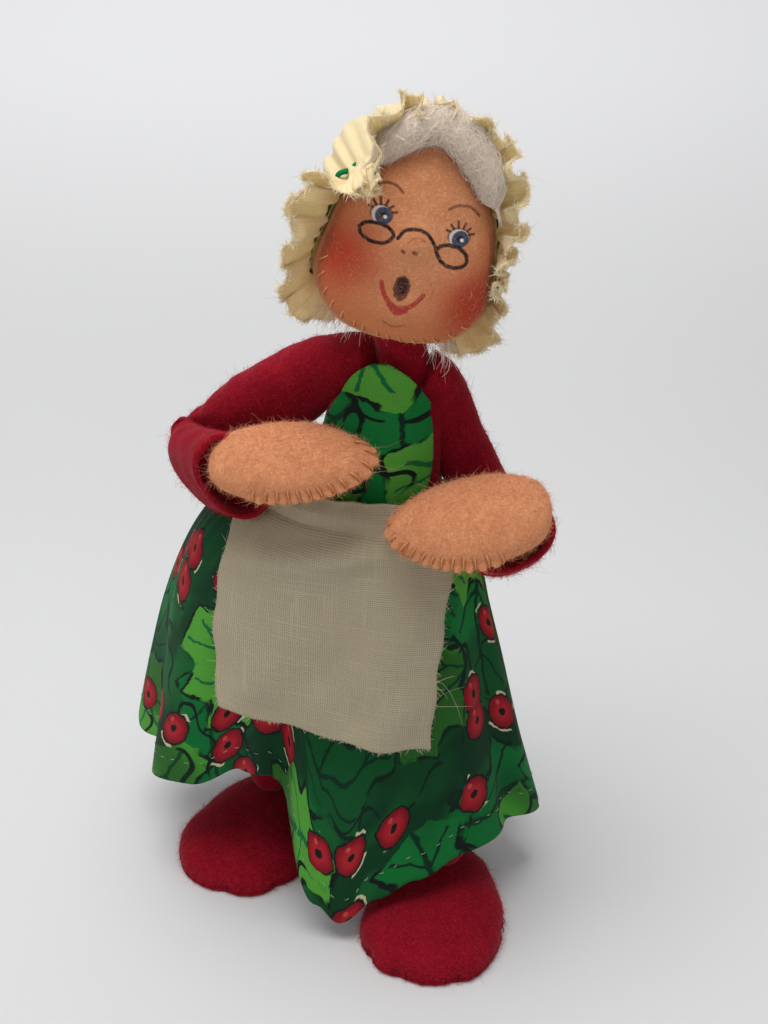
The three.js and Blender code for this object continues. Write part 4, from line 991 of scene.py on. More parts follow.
# Whip stitches over the seam between face and back, round the jaw.
def makeJawStitches():
    angles = np.radians(np.arange(132, 248, 8.0))
    random = np.random.default_rng(3)
    angles = angles + random.uniform(-0.03, 0.03, len(angles))
    y = np.array([-9.9, -9.6, -8.9, -8.1, -7.3, -6.6])
    lean = np.linspace(0.08, -0.01, 6)
    angle = angles[:, None] + lean[None]
    lift = np.array([-0.5, 0.05, 0.2, 0.35, 0.2, -0.4])
    paths = polar(headReach(angle) * headSize(y) + lift, y - [0.1, 0.3, 0.2, 0, 0, 0], angle)
    stitches = tubesObject("jawStitches", fromHead(jaw(paths)), 0.17, thread, sides=5)
    return finishPiece(stitches, "head", "peach_felt")


head = makeHead()
makeJawStitches()
headFuzz = fuzz("headFuzz", head, 6000, 1.0, 0.02, peachFibre, 21, 0.35)
finishPiece(headFuzz, "head", "peach_felt")
say("head")

# White wool over the forehead: a soft roll under the ruffle, in a haze of loose curled fibres.
hairSettings = dict(ends=(-38, 52), depth=-10.4, radius=3.2, strands=2600, strandRadius=0.028, steps=7)


# Middle of the roll at an angle over the forehead, the way out from the head there, and a radius
# that thins a little and closes at both ends.
def hairPath(turn, settings):
    low, high = settings["ends"]
    angle = np.radians(turn)
    along = np.clip((turn - low) / (high - low) * 2 - 1, -1, 1)
    size = settings["radius"] * (1 - 0.3 * along ** 2) * drawnIn(along, 6)
    reach = headReach(angle) * headSize(np.full_like(angle, -10.0)) + 4.4 - 1.6 * along ** 2
    return polar(reach, settings["depth"], angle), polar(1.0, 0.0, angle), size


def makeHairRoll(settings):
    low, high = settings["ends"]
    turn = np.linspace(low, high, 200)
    middle, outward, size = hairPath(turn, settings)
    around = circle(48)
    lumps = 0.9 + 0.13 * ripple(np.radians(turn)[:, None] * 5, around[None], seed=12, low=1, high=3)
    forward = np.array([0, -1.0, 0])
    grid = rings(middle[:, None], outward[:, None], forward, size[:, None] * lumps, around)
    roll = closedObject("hairRoll", fromHead(grid), wool)
    finishPiece(roll, "head", "white_roving", ["hair_front"])

    random = np.random.default_rng(31)
    count, steps = settings["strands"], settings["steps"]
    t = np.linspace(-0.5, 0.5, steps)
    turn = random.uniform(low - 2, high + 2, (count, 1)) + random.normal(0, 13, (count, 1)) * t
    middle, outward, size = hairPath(turn, settings)
    side = random.uniform(-0.9, np.pi + 0.5, (count, 1)) + random.normal(0, 1.5, (count, 1)) * t
    away = 0.92 + 0.1 * random.random((count, 1)) + 0.32 * random.random((count, 1)) ** 5
    away = away + 0.13 * np.sin(t * random.uniform(4, 16, (count, 1)) + random.uniform(0, 6, (count, 1)))
    paths = rings(middle, outward, forward, (size + 0.25) * away, side)
    taper = np.sin(np.linspace(0.25, 2.9, steps))
    radii = settings["strandRadius"] * taper * random.uniform(0.6, 1.6, (count, 1))
    strands = tubesObject("hairStrands", fromHead(paths), radii, roving, seed=32)
    finishPiece(strands, "head", "white_roving")


# Tufts of the same wool that show below the head, either side of the neck.
napeSettings = dict(tufts=[(-10.5, 3.5, -17.2, 2.2), (-6.5, 6.5, -18.2, 2.4), (1.5, 8.5, -18.6, 2.4),
                           (7.0, 5.5, -18.8, 2.7), (10.5, 2.0, -18.6, 2.3)],
                    strands=90, length=6.0)


def makeNapeHair(settings):
    random = np.random.default_rng(41)
    rows = 90
    middle = curveThrough([t[:3] for t in settings["tufts"]], rows)
    size = np.interp(np.linspace(0, 4, rows), range(5), [t[3] for t in settings["tufts"]])
    size = size * drawnIn(np.linspace(-1, 1, rows), 6)
    around = circle(28)
    across, other = crossways(unit(np.gradient(middle, axis=0)), [0, 0, 1.0])
    lumps = 1 + 0.2 * ripple(np.linspace(0, 9, rows)[:, None], around[None], seed=14, low=1, high=3)
    grid = rings(middle[:, None], across[:, None], other[:, None], size[:, None] * lumps, around)
    roll = closedObject("napeHair", fromHead(grid), wool)
    finishPiece(roll, "head", "white_roving", ["hair_nape"])
    paths, steps = [], 8
    for x, y, z, size in settings["tufts"]:
        count = settings["strands"]
        lean = unit(random.normal(0, 0.55, (count, 3)) + [x * 0.05, -0.15, -1.0])
        curl = unit(random.normal(size=(count, 3)))
        start = np.array([x, y, z]) + random.normal(0, 0.5, (count, 3)) * size
        t = np.linspace(0, 1, steps)[:, None, None]
        length = settings["length"] * random.uniform(0.5, 1.1, (count, 1)) * size / 2.4
        tuft = start + lean * length * t + curl * 1.4 * np.sin(t * random.uniform(1.5, 4, (count, 1))) * t
        paths.append(tuft.transpose(1, 0, 2))
    paths = np.concatenate(paths)
    radii = 0.055 * np.linspace(1.2, 0.4, steps) * random.uniform(0.6, 1.4, (len(paths), 1))
    strands = tubesObject("napeStrands", fromHead(paths), radii, roving, seed=43)
    finishPiece(strands, "head", "white_roving")


makeHairRoll(hairSettings)
makeNapeHair(napeSettings)
say("hair")

# The mob cap: a puffed crown gathered on a cord, then a raw-edged ruffle that waves and folds.
capSettings = dict(
    backDepth=19.0, gatherFront=-4.6, gatherNape=12.5, columns=620, crownRows=42, ruffleRows=32,
    thickness=0.32,
    # the crown's puff, with a fuller place at each angle (place, width, extra)
    puff=4.2, fuller=[(312, 30, 3.4), (72, 30, 2.4), (20, 26, 1.6)],
    # angle from the top towards the doll's left, length of the ruffle, and its lean forward in degrees
    ruffle=[(0, 7.8, 64), (14, 9.0, 54), (27, 10.0, 42), (45, 9.5, 50), (62, 9.0, 62), (81, 8.5, 78),
            (108, 9.0, 92), (130, 9.5, 64), (143, 10.5, 42), (165, 7.5, 14), (185, 6.0, 6), (218, 9.5, 26),
            (235, 10.0, 56), (255, 9.5, 64), (278, 10.5, 44), (292, 11.5, 60), (304, 13.5, 98),
            (319, 14.0, 104), (330, 13.0, 66), (341, 10.5, 44), (352, 8.4, 54), (360, 7.8, 64)],
    lobes=23, waveFront=1.9, waveNape=1.1, fold=1.0,
)


# Level over the top, then back to the nape by the squared cosine of the angle.
def gatherDepth(angle):
    s = capSettings
    return lerp(s["gatherFront"], s["gatherNape"], np.maximum(-np.cos(angle), 0) ** 2)


# The head's outline at the gather's depth, and a little for the cloth.
def gatherReach(angle):
    return headReach(angle) * headSize(gatherDepth(angle)) + 0.9


# Uneven phase round the cap, so that no two lobes of the ruffle are alike.
def lobePhase(angle):
    s = capSettings
    return s["lobes"] * angle + 1.4 * np.sin(2 * angle + 0.7) + 1.1 * np.sin(3 * angle + 2.1) \
        + 0.7 * np.sin(5 * angle + 4.0) + 0.38 * np.sin(9 * angle + 1.0)


# Share 0 is the pole at the back and 1 the gather: a quarter turn between them, puffed out by a sine
# of twice that turn, with pleats that deepen towards the gather.
def capCrown(angle, share):
    s = capSettings
    sweep = share * np.pi / 2
    reach, y = gatherReach(angle), gatherDepth(angle)
    pleat = np.sin(34 * angle + 2.2 * np.sin(3 * angle + 1) + 1.6 * np.sin(7 * angle)) \
        * (share ** 2.2 + 0.1 * share) * (0.8 + 0.5 * np.sin(5 * angle + 2))
    pouf = 1.2 * ripple(angle, share * 3.0, seed=61, waves=6, low=1, high=3.4) * np.sin(np.pi * share) ** 0.7
    pouf = pouf + np.sin(np.pi * share) ** 0.5 * (
        1.1 * ripple(angle * 5.0, share * 5.0, seed=62, waves=9, low=1, high=3)
        + 0.4 * ripple(angle * 22.0, share * 16.0, seed=67, waves=11, low=1, high=2.6))
    puff = s["puff"] + sum(extra * hump(((np.degrees(angle) - at + 180) % 360 - 180) / wide)
                           for at, wide, extra in s["fuller"])
    out = reach * np.sin(sweep) ** 0.72 + (puff + pouf * 1.6) * np.sin(2 * sweep) ** 0.85 + pleat
    back = lerp(s["backDepth"], y, 1 - np.cos(sweep)) + 1.3 * pouf * np.cos(sweep)
    return polar(out, back, angle)


# Share 0 is the gather and 1 the raw edge: a straight way out at the ruffle's lean, with waves, folds
# and crimps across it that grow or fade with the share.
def capRuffle(angle, share):
    s = capSettings
    table = np.array(s["ruffle"])
    degrees = np.degrees(angle) % 360
    length = np.interp(degrees, table[:, 0], table[:, 1]) * share
    flare = np.radians(np.interp(degrees, table[:, 0], table[:, 2]))
    front = 0.5 + 0.5 * np.cos(angle)
    phase = lobePhase(angle)
    uneven = 0.85 + 0.45 * ripple(angle * 3, 0, seed=65, waves=5, low=1, high=2.6)
    size = lerp(s["waveNape"], s["waveFront"], front) * uneven
    opened = share ** 0.7
    tall = size * opened * (np.sin(phase) + 0.35 * np.sin(2.3 * phase + 1.1 + 2 * share))
    # the cloth doubles back on itself between the waves
    side = -s["fold"] * opened * np.sin(2 * phase + 0.8 * np.sin(5 * angle)) * (0.55 + 0.45 * front)
    crimp = 0.34 * np.sin(52 * angle + 2.2 * np.sin(3 * angle + 1)) * np.exp(-share * 3) \
        + 0.7 * share * ripple(angle * 11, share * 4, seed=63, waves=9, low=1, high=3.2) \
        + 0.22 * share ** 0.5 * ripple(angle * 34, share * 11, seed=66, waves=11, low=1, high=2.6)
    curl = 1.3 * smooth(0.55, 1.0, share) * np.sin(phase + 2.0 + 1.3 * np.sin(7 * angle)) * front
    ragged = 1 + 0.1 * ripple(angle * 9, 0, seed=64, waves=7, low=1, high=4) * smooth(0.6, 1.0, share)
    length = length * ragged
    out = gatherReach(angle) + length * np.cos(flare) + (tall + crimp) * np.sin(flare)
    y = gatherDepth(angle) - length * np.sin(flare) + (tall + crimp) * np.cos(flare) + curl
    slide = angle + side / np.maximum(out, 8)
    return polar(out, y, slide)


# Crown and ruffle are rows of one grid, evened out where they meet.
def makeCap(s):
    angle = circle(s["columns"])
    crown = np.linspace(0.02, 1, s["crownRows"])
    ruffle = np.linspace(0, 1, s["ruffleRows"] + 1)[1:]
    grid = np.concatenate([
        capCrown(angle[None], crown[:, None]),
        capRuffle(angle[None], ruffle[:, None]),
    ])
    evened(grid, s["crownRows"] - 3, s["crownRows"] + 3)
    ruffleStep = np.concatenate([crown * 26, 26 + ruffle * 12])
    spots = stacked(angle * 22, ruffleStep[:, None], 0)
    cap = gridObject("mobCap", fromHead(grid), capMuslin, loopColumns=True, capStart=True,
                     inside=fromHead([0, 4, 0]), spots=spots)
    thicken(cap, s["thickness"])
    finishPiece(cap, "head", "muslin", ["mob_cap"])
    return grid


# Threads pulled loose along a raw edge, mostly running on outward from it.
def frayed(name, edge, outward, count, length, seed, material, body, slot, radius=0.06):
    random = np.random.default_rng(seed)
    spot = random.uniform(0, len(edge) - 1.001, count)
    low = spot.astype(int)
    part = (spot - low)[:, None]
    start = edge[low] * (1 - part) + edge[low + 1] * part
    out = unit(outward[low] * (1 - part) + outward[low + 1] * part + 1e-9)
    along = unit(edge[low + 1] - edge[low] + 1e-9)
    up = np.cross(out, along)
    size = length * random.lognormal(-0.25, 0.38, (count, 1))
    lean = random.normal(0, 0.5, (count, 1))
    lift = up * random.normal(0, 0.35, (count, 1))
    t = np.linspace(0, 1, 5)[:, None, None]
    bend = along * random.normal(0, 0.5, (count, 1)) + up * random.normal(0, 0.45, (count, 1))
    paths = start - out * 0.5 + unit(out + along * lean + lift) * size * t + bend * size * t ** 2
    radii = radius * random.uniform(0.6, 1.2, (count, 1)) * np.array([[1, 1, 0.95, 0.8, 0.4]])
    threads = tubesObject(name, paths.transpose(1, 0, 2), radii, material, seed=seed)
    return finishPiece(threads, body, slot)


# The gathering cord weaves in and out of the cap where the crown meets the ruffle.
def makeCapCord():
    angle = circle(900)
    weave = 0.75 * np.sin(22 * angle + 0.6)
    turn = np.degrees(angle)
    shown = hump((turn - 297) / 8) + 0.8 * hump((turn - 180) / 42)
    out = gatherReach(angle) + 0.4 + (1.0 + 0.6 * weave) * shown
    middle = polar(out, gatherDepth(angle) + 1.5 - 1.3 * shown, angle)
    across, other = crossways(unit(np.roll(middle, -1, 0) - np.roll(middle, 1, 0)), [0, 1.0, 0])
    around = circle(8)
    ring = across[:, None] * np.cos(around)[:, None] + other[:, None] * np.sin(around)[:, None]
    grid = middle[:, None] + 0.5 * ring
    cord = gridObject("gatherCord", fromHead(grid), greenThread, loopRows=True, loopColumns=True)
    return finishPiece(cord, "head", "green_cord", ["cap_cord"])


capGrid = makeCap(capSettings)
edge, before = fromHead(capGrid[-1]), fromHead(capGrid[-4])
frayed("capFray", edge, edge - before, 7200, 1.1, 51, muslinFibre, "head", "muslin", 0.052)
makeCapCord()
say("mob cap")

# Share of the torso's length, sideways place, half width and half depth.
bodySections = np.array([
    [0.04, -6, 12.5, 8.5], [0.08, -6, 15.5, 11], [0.18, -6, 17, 12], [0.416, -4, 15, 11],
    [0.575, -2.5, 13, 10.3], [0.752, -1, 12.3, 9.8], [0.861, 0, 11.6, 8.8], [0.931, 1.2, 9.6, 7.4],
    [0.974, 2.2, 6.2, 5.2],
])
hipHeight, torsoLength, waistHeight, neckHeight = 71.0, 50.5, 92.0, 121.5


# Sideways place, half width and half depth of the body at a height.
def bodySection(height):
    share = (np.asarray(height) - hipHeight) / torsoLength
    return [np.interp(share, bodySections[:, 0], column) for column in bodySections.T[1:]]


# Ovals up the torso's length, from the table of sections, closed at both ends.
def makeBody():
    around, rows = circle(120), 60
    height = hipHeight + torsoLength * np.linspace(0.02, 0.985, rows)
    x, halfWidth, halfDepth = (v[:, None] for v in bodySection(height))
    lumps = 0.3 * ripple(around * 2, height[:, None] * 0.16, seed=71)
    end = drawnIn(np.linspace(-1, 1, rows), 14)[:, None]
    grid = stacked(x + (halfWidth + lumps) * np.cos(around) * end,
                   (halfDepth + lumps) * np.sin(around) * end, height[:, None])
    body = closedObject("bodyFelt", grid, redFelt)
    finishPiece(body, "torso", "red_felt", ["body_felt"])


# A round limb between two places, with felt dents; ends close inside what carries them.
def feltTube(name, start, end, radii, reach, seed, material, rows=60, sides=72):
    start, end = np.asarray(start), np.asarray(end)
    along = unit(end - start)
    across, other = crossways(along, [0.3, 1, 0.1])
    length = np.linalg.norm(end - start)
    t = np.linspace(-reach[0], length + reach[1], rows)
    around = circle(sides)
    radius = np.interp(t / length, np.linspace(0, 1, len(radii)), radii)[:, None]
    radius = radius + 0.25 * ripple(around * 2, t[:, None] * 0.2, seed=seed)
    radius = radius * drawnIn(np.linspace(-1, 1, rows), 16)[:, None]
    grid = rings(start + t[:, None, None] * along, across, other, radius, around)
    tube = closedObject(name, grid, material)
    return tube


neckTop = fromHead([0.4, 3, -17.2])


def makeNeck():
    neck = feltTube("neckFelt", neckPivotDesign, neckTop, [5.3, 4.7, 4.6], (5.5, 4.5), 75, redFelt, 50)
    finishPiece(neck, "neck", "red_felt", ["neck_felt"])


makeBody()
makeNeck()
say("body and neck")

# Sleeves: one felt tube each from the neck to an open cuff, creased at the elbow.
sleeveSettings = dict(
    rows=160, sides=112, neckReach=11.0,
    # how far the lining lies beyond the cuff's edge, and its size
    lining=[(0.35, 0.93), (0.2, 0.87), (-1.2, 0.86), (-5.2, 0.8), (-8.2, 0.55)],
    neckSide=dict(right=(-2.6, -0.4, 121.4), left=(7.4, -0.2, 120.2)),
    # share of the arm, half width, half thickness, and how far the cloth lies sideways and hangs
    sections=dict(
        right=[(-0.17, 5.2, 5.4, 0, 0.6), (-0.08, 6.4, 6.2, 0, 1.2), (0.05, 7.6, 6.0, 0, 1.4),
               (0.3, 8.6, 5.4, 0, 0.4), (0.5, 9.6, 5.2, 3.0, -1.6), (0.62, 11.0, 5.4, 2.4, -3.8),
               (0.8, 11.6, 6.2, -1.6, -4.4), (1.0, 9.6, 6.8, -1.6, -2.0)],
        left=[(-0.17, 4.8, 4.8, 0, 0), (-0.08, 5.2, 5.0, -1.2, 0), (0.05, 5.6, 4.8, -3.4, 0),
              (0.25, 5.8, 4.4, -4.8, 0), (0.42, 6.4, 5.0, -4.8, -0.5), (0.54, 7.4, 6.0, -4.6, -2.6),
              (0.7, 8.6, 6.6, -3.2, -4.2), (1.0, 8.8, 7.2, -1.8, -4.0)],
    ),
)


def armLine(side):
    shoulder, elbow, wrist = (pivot(f"{joint}_{side}") for joint in ("shoulder", "elbow", "wrist"))
    return shoulder, elbow, wrist, unit(elbow - shoulder), unit(wrist - elbow)


# Soft-cornered ovals square to a path: a curve over the shoulder, the upper arm, a turn at the elbow
# and the forearm, with folds in their size and creases near the elbow.
def makeSleeve(side, seed):
    s = sleeveSettings
    shoulder, elbow, wrist, upper, fore = armLine(side)
    upperLength, foreLength = np.linalg.norm(elbow - shoulder), np.linalg.norm(wrist - elbow)
    across = unit(np.cross(upper, fore))
    toward = unit(upper + fore)
    turnSpan = 4.6
    cuffEnd = foreLength - 2.4
    total = upperLength + turnSpan + cuffEnd
    t = np.linspace(-s["neckReach"], total, s["rows"])
    split = upperLength
    bend = smooth(split - 1.5, split + turnSpan + 1.5, t)
    angle = np.arccos(np.clip(upper @ fore, -1, 1))
    bendSide = np.cross(across, upper)
    direction = upper * np.cos(bend * angle)[:, None] + bendSide * np.sin(bend * angle)[:, None]
    first = shoulder + upper * np.minimum(t, split)[:, None]
    middle = first + fore * np.maximum(t - split - turnSpan, 0)[:, None]
    # from the neck the tube curves over the shoulder into the upper arm
    begin, reach = np.array(s["neckSide"][side]), s["neckReach"]
    w = np.clip((t + reach) / (reach + 5.0), 0, 1)[:, None]
    curved = (1 - w) ** 2 * begin + 2 * w * (1 - w) * shoulder + w ** 2 * (shoulder + upper * 5.0)
    middle = np.where(w < 1, curved, middle)
    direction = unit(np.where(w < 1, (1 - w) * (shoulder - begin) + w * upper * 5.0, direction))
    wideWay = unit(across - (direction @ across)[:, None] * direction)
    thin = np.cross(direction, wideWay)
    share = t / (upperLength + foreLength)
    table = np.array(s["sections"][side])
    halfWide, halfThin, aside, drop = (
        np.interp(share, table[:, 0], column)[:, None] for column in table.T[1:])
    middle = middle + np.concatenate([aside, 0 * aside, drop], 1)
    around = circle(s["sides"])
    cosine, sine = np.cos(around), np.sin(around)
    power = 0.86
    wide = np.sign(cosine) * np.abs(cosine) ** power
    deep = np.sign(sine) * np.abs(sine) ** power
    near = hump((t - split - turnSpan / 2) / 9.0)[:, None]
    folds = ripple(around, t[:, None] * 0.32, seed=seed, waves=6, low=1, high=3)
    creases = near * 0.7 * np.sin(t[:, None] * 1.15 + 1.5 * np.cos(around + 0.6) + seed)
    puff = 1 + 0.05 * folds + 0.045 * creases
    grid = offsets(middle[:, None], wideWay[:, None], thin[:, None],
                   halfWide * wide * puff, halfThin * deep * puff)
    # what would pass the elbow's middle plane stops on it, as a crease
    past = (grid - elbow) @ toward
    isUpper = (bend < 0.5)[:, None]
    rounding = np.sqrt(past ** 2 + 1.2)
    soft = 0.5 * (past + np.where(isUpper, -rounding, rounding))
    inner = ((grid - elbow) @ unit(fore - upper))[..., None] > -1.5
    grid = np.where(inner, grid + (soft - past)[..., None] * toward, grid)
    # cuff: rolls over its edge and goes back inside
    last, lastMiddle = grid[-1], middle[-1]
    lining = [lastMiddle + (last - lastMiddle) * size + fore * out for out, size in s["lining"]]
    grid = np.concatenate([grid, lining])
    sleeve = closedObject(f"sleeve_{side}", grid, redFelt, inside=elbow)
    acrossElbow = f"forearm_{side}", elbow - toward * 3.0, elbow + toward * 3.0
    finishPiece(sleeve, f"upper_arm_{side}", "red_felt", [f"upper_sleeve_{side}", f"lower_sleeve_{side}"],
                *acrossElbow)
    hairs = fuzz(f"sleeveFuzz_{side}", sleeve, 8000, 1.4, 0.026, redFibre, seed + 5, 0.2)
    finishPiece(hairs, f"upper_arm_{side}", "red_felt", (), *acrossElbow)


for side, seed in (("right", 81), ("left", 91)):
    makeSleeve(side, seed)
say("sleeves")

# Mitten hands: two felts whip-stitched together round their edge and lightly stuffed.
handSettings = dict(
    outline=[(-7.5, 0), (-5.25, 5.3), (2.7, 8.0), (10.8, 8.6), (18.4, 6.9), (24.8, 3.6), (27, 0),
             (24.8, -3.6), (18.4, -6.7), (10.8, -8.0), (2.7, -8.0), (-5.25, -5.3)],
    thickness=5.0, columns=400, rows=46, stitchGap=2.5, facing=(0, -0.6, 0.8),
    along=dict(right=(0.97, -0.07, 0.12), left=(-0.95, -0.18, -0.2)),
    # for each hand, the side that points up, its lift, its length and its width
    up=dict(right=1, left=-1), lift=dict(right=(0, 0, 2.6), left=(-0.8, 0, 0.3)),
    reach=dict(right=0.99, left=0.91), wide=dict(right=1.06, left=1.16),
)


# The hand's own directions as rows: along it, away from the way it faces, and across it.
def handAxes(side):
    along = unit(handSettings["along"][side])
    facing = unit(handSettings["facing"])
    out = unit(facing - (facing @ along) * along)
    return np.array([along, -out, np.cross(out, along)])


# The outline, drawn in over its height by a dome, with a ridge of felt round the edge that each stitch
# pinches in, and a slanted crease near the tips.
def makeHand(side, seed):
    s = handSettings
    wrist, axes = pivot(f"wrist_{side}"), handAxes(side)
    middle = np.array([9.75, 0.0])
    curve = curveThrough(s["outline"], s["columns"], closed=True)
    length = np.linalg.norm(np.diff(np.vstack([curve, curve[:1]]), axis=0), axis=1)
    at = np.concatenate([[0], np.cumsum(length)[:-1]])
    count = int(round(length.sum() / s["stitchGap"]))
    phase = 2 * np.pi * (at / length.sum() * count + 0.35 * np.sin(at * 0.21 + seed))
    pinch = (0.5 + 0.5 * np.cos(phase)) ** 2
    rise = np.sin(np.linspace(-1, 1, s["rows"] * 2 + 1) * np.pi / 2)
    rise = (np.sign(rise) * np.abs(rise) ** 1.35)[1:-1]
    size = dome(np.abs(rise))
    away = curve - middle
    out = unit(away)
    upper = smooth(-2.0, 3.0, curve[:, 1] * s["up"][side]) * smooth(25, 20, curve[:, 0])
    heel = smooth(1.0, 6.0, curve[:, 0]) * (1 - 0.85 * upper)
    ridge = (1.15 - pinch) * heel * hump(rise * s["thickness"] / 0.75)[:, None]
    dent = -0.35 * pinch * heel * hump((np.abs(rise) * s["thickness"] - 1.2) / 0.9)[:, None]
    flat = middle + away * size[:, None, None] + out * (ridge + dent)[..., None]
    lumps = ripple(flat[..., 0] * 0.3, flat[..., 1] * 0.35, seed=seed, waves=6, low=0.6, high=2.2)
    crease = 0.9 * hump(((flat[..., 0] - 20.5) * 0.9 - (flat[..., 1] + 1.5) * 0.55) / 1.1) \
        * smooth(-5, 0.5, flat[..., 1]) * (rise < 0)[:, None] * size[:, None]
    height = (s["thickness"] * rise)[:, None] * (1 + 0.1 * lumps) + crease
    wrist = wrist + s["lift"][side]

    # the hand's own shape: its length, its width and the lean of its upper side
    def fitted(flat, height):
        lean = 0.24 * np.maximum(flat[..., 1] * s["up"][side], 0)
        return stacked(flat[..., 0] * s["reach"][side], height + lean, flat[..., 1] * s["wide"][side])

    grid = wrist + fitted(flat, height) @ axes
    hand = closedObject(f"hand_{side}", grid, peachFelt)
    finishPiece(hand, f"hand_{side}", "peach_felt",
                [f"hand_palm_felt_{side}", f"hand_back_felt_{side}", f"hand_stuffing_{side}"])

    stitchPhase = np.arange(1, int(phase[-1] / (2 * np.pi)) + 1)
    places = np.arange(len(curve))
    where = np.interp(stitchPhase * 2 * np.pi, phase, places)
    where = where[np.interp(where, places, heel) > 0.5]
    # a stitch from the palm over the edge to the back: its heights and how far it stands off
    steps = 1.15 * np.array([-1.9, -1.5, -0.7, 0.0, 0.7, 1.5, 1.9])
    lift = np.array([-0.35, 0.25, 0.35, 0.5, 0.35, 0.25, -0.35])
    share = np.clip(np.abs(steps) / s["thickness"], 0, 0.98)
    paths = []
    random = np.random.default_rng(seed)
    for spot in where:
        index = spot + np.linspace(-2.2, 2.2, 7) * random.uniform(0.3, 1.0)
        edge = readAt(index, places, curve) - middle
        reach = np.linalg.norm(edge, axis=1) * dome(share)
        paths.append(fitted(middle + unit(edge) * (reach + lift)[:, None], steps))
    stitches = tubesObject(f"handStitches_{side}", wrist + np.array(paths) @ axes, 0.2, thread, sides=5)
    finishPiece(stitches, f"hand_{side}", "peach_felt")
    hairs = fuzz(f"handFuzz_{side}", hand, 9000, 1.3, 0.024, peachFibre, seed + 2, 0.2)
    finishPiece(hairs, f"hand_{side}", "peach_felt")


for side, seed in (("right", 101), ("left", 107)):
    makeHand(side, seed)
say("hands")

# Legs: a felt tube from hip to ankle.
for side, seed in (("right", 121), ("left", 127)):
    hip, knee, ankle = (pivot(f"{joint}_{side}") for joint in ("hip", "knee", "ankle"))
    leg = feltTube(f"leg_{side}", hip, ankle, [6.8, 6.3, 6.0, 5.7, 5.4], (5.2, 4.6), seed, redFelt, 90)
    along = unit(ankle - hip)
    finishPiece(leg, f"thigh_{side}", "red_felt", [f"thigh_{side}", f"shin_{side}"], f"shin_{side}",
                knee - along * 5, knee + along * 5)
say("legs")

# Feet: a domed felt upper sewn to a flat sole round its lower edge.
footSettings = dict(
    halfWidth=15.0, halfLength=20.0, height=9.6, ankleBack=9.0, columns=300, soleThickness=1.3,
    stitchStep=2.7,
    outline=[(0, -1), (0.62, -0.88), (0.97, -0.48), (1, -0.05), (0.86, 0.4), (0.52, 0.86), (0, 1)],
    places=dict(right=((-31, -5, 0), -8, 5), left=((16, -21, 0), 4, 9)),
)


# Rows of the sole's outline: the flat sole, its edge and the seam, then drawn in over the height by a
# dome and moved back towards the ankle.
def makeFoot(side, seed):
    s = footSettings
    at, turn, pinches = s["places"][side]
    half = np.array(s["outline"]) * [s["halfWidth"], s["halfLength"]]
    curve = curveThrough(np.vstack([half, half[-2:0:-1] * [-1, 1]]), s["columns"], closed=True)
    out = unit(curve)
    length = travelled(curve)
    wobble = 0.75 * ripple(length * 0.16, seed=seed, waves=6, low=0.6, high=2.4) \
        + 0.05 * np.sin(length * 2 * np.pi / s["stitchStep"] + 2 * np.sin(length * 0.1))
    base = curve + out * wobble[:, None]
    rows = []
    # sole and its edge, then the seam, then the dome
    for grow, z in ((-9.0, 0.05), (-2.5, 0.05), (-0.7, 0.02), (-0.1, 0.25), (0.1, 0.7), (0.0, 1.15),
                    (-0.35, 1.4)):
        rows.append(np.column_stack([base + out * grow, np.full(len(base), z)]))
    low = s["soleThickness"] + 0.2
    for share in np.concatenate([[0.0, 0.02, 0.05, 0.09], np.linspace(0.14, 1, 34) ** 0.9]):
        size = dome(share, 2.4)
        shown = base * max(size, 0.02) + [0, 0.6 * s["ankleBack"] * (1 - size)]
        lift = lerp(low, s["height"], share)
        lumps = 0.38 * ripple(shown[:, 0] * 0.28, shown[:, 1] * 0.24, seed=seed + 3,
                              waves=6, low=0.6, high=2.2)
        edge = 0.18 * math.exp(-share / 0.05)
        rows.append(np.column_stack([shown + out * edge, lift + lumps * share ** 0.5 * (1 - 0.5 * share)]))
    grid = np.array(rows)
    # pinched places in the seam, where the felt is drawn in
    around = np.arctan2(grid[..., 1], grid[..., 0])
    for k in range(pinches):
        where = -np.pi + 2 * np.pi * (k + 0.35 * math.sin(k * 2.3 + seed)) / pinches
        away = (around - where + np.pi) % (2 * np.pi) - np.pi
        pull = 0.9 * hump(away * 17 / 1.6) * hump((grid[..., 2] - 1.4) / 1.8)
        grid[..., :2] -= unit(grid[..., :2]) * pull[..., None]
    spin = turning("Z", turn)
    grid = grid @ spin.T + at
    foot = closedObject(f"foot_{side}", grid, redFelt)
    finishPiece(foot, f"foot_{side}", "red_felt", [f"foot_felt_{side}", f"foot_sole_{side}"])

    count = int(length[-1] / s["stitchStep"])
    index = np.linspace(0, len(base) - 1, count, endpoint=False)
    edge = readAt(index, np.arange(len(base)), base)
    outward = unit(edge)
    paths = np.stack([np.column_stack([edge + outward * out, np.full(count, height)]) for out, height in
                      ((-0.75, 2.2), (-0.12, 2.15), (0.2, 1.3), (-0.3, 0.6))], 1)
    stitches = tubesObject(f"footStitches_{side}", paths @ spin.T + at, 0.11, darkThread, sides=4)
    finishPiece(stitches, f"foot_{side}", "red_felt")
    hairs = fuzz(f"footFuzz_{side}", foot, 7000, 1.2, 0.026, redFibre, seed + 5, 0.25,
                 lambda p, n: p[:, 2] > 0.6)
    finishPiece(hairs, f"foot_{side}", "red_felt")


makeFoot("right", 131)
makeFoot("left", 137)
say("feet")

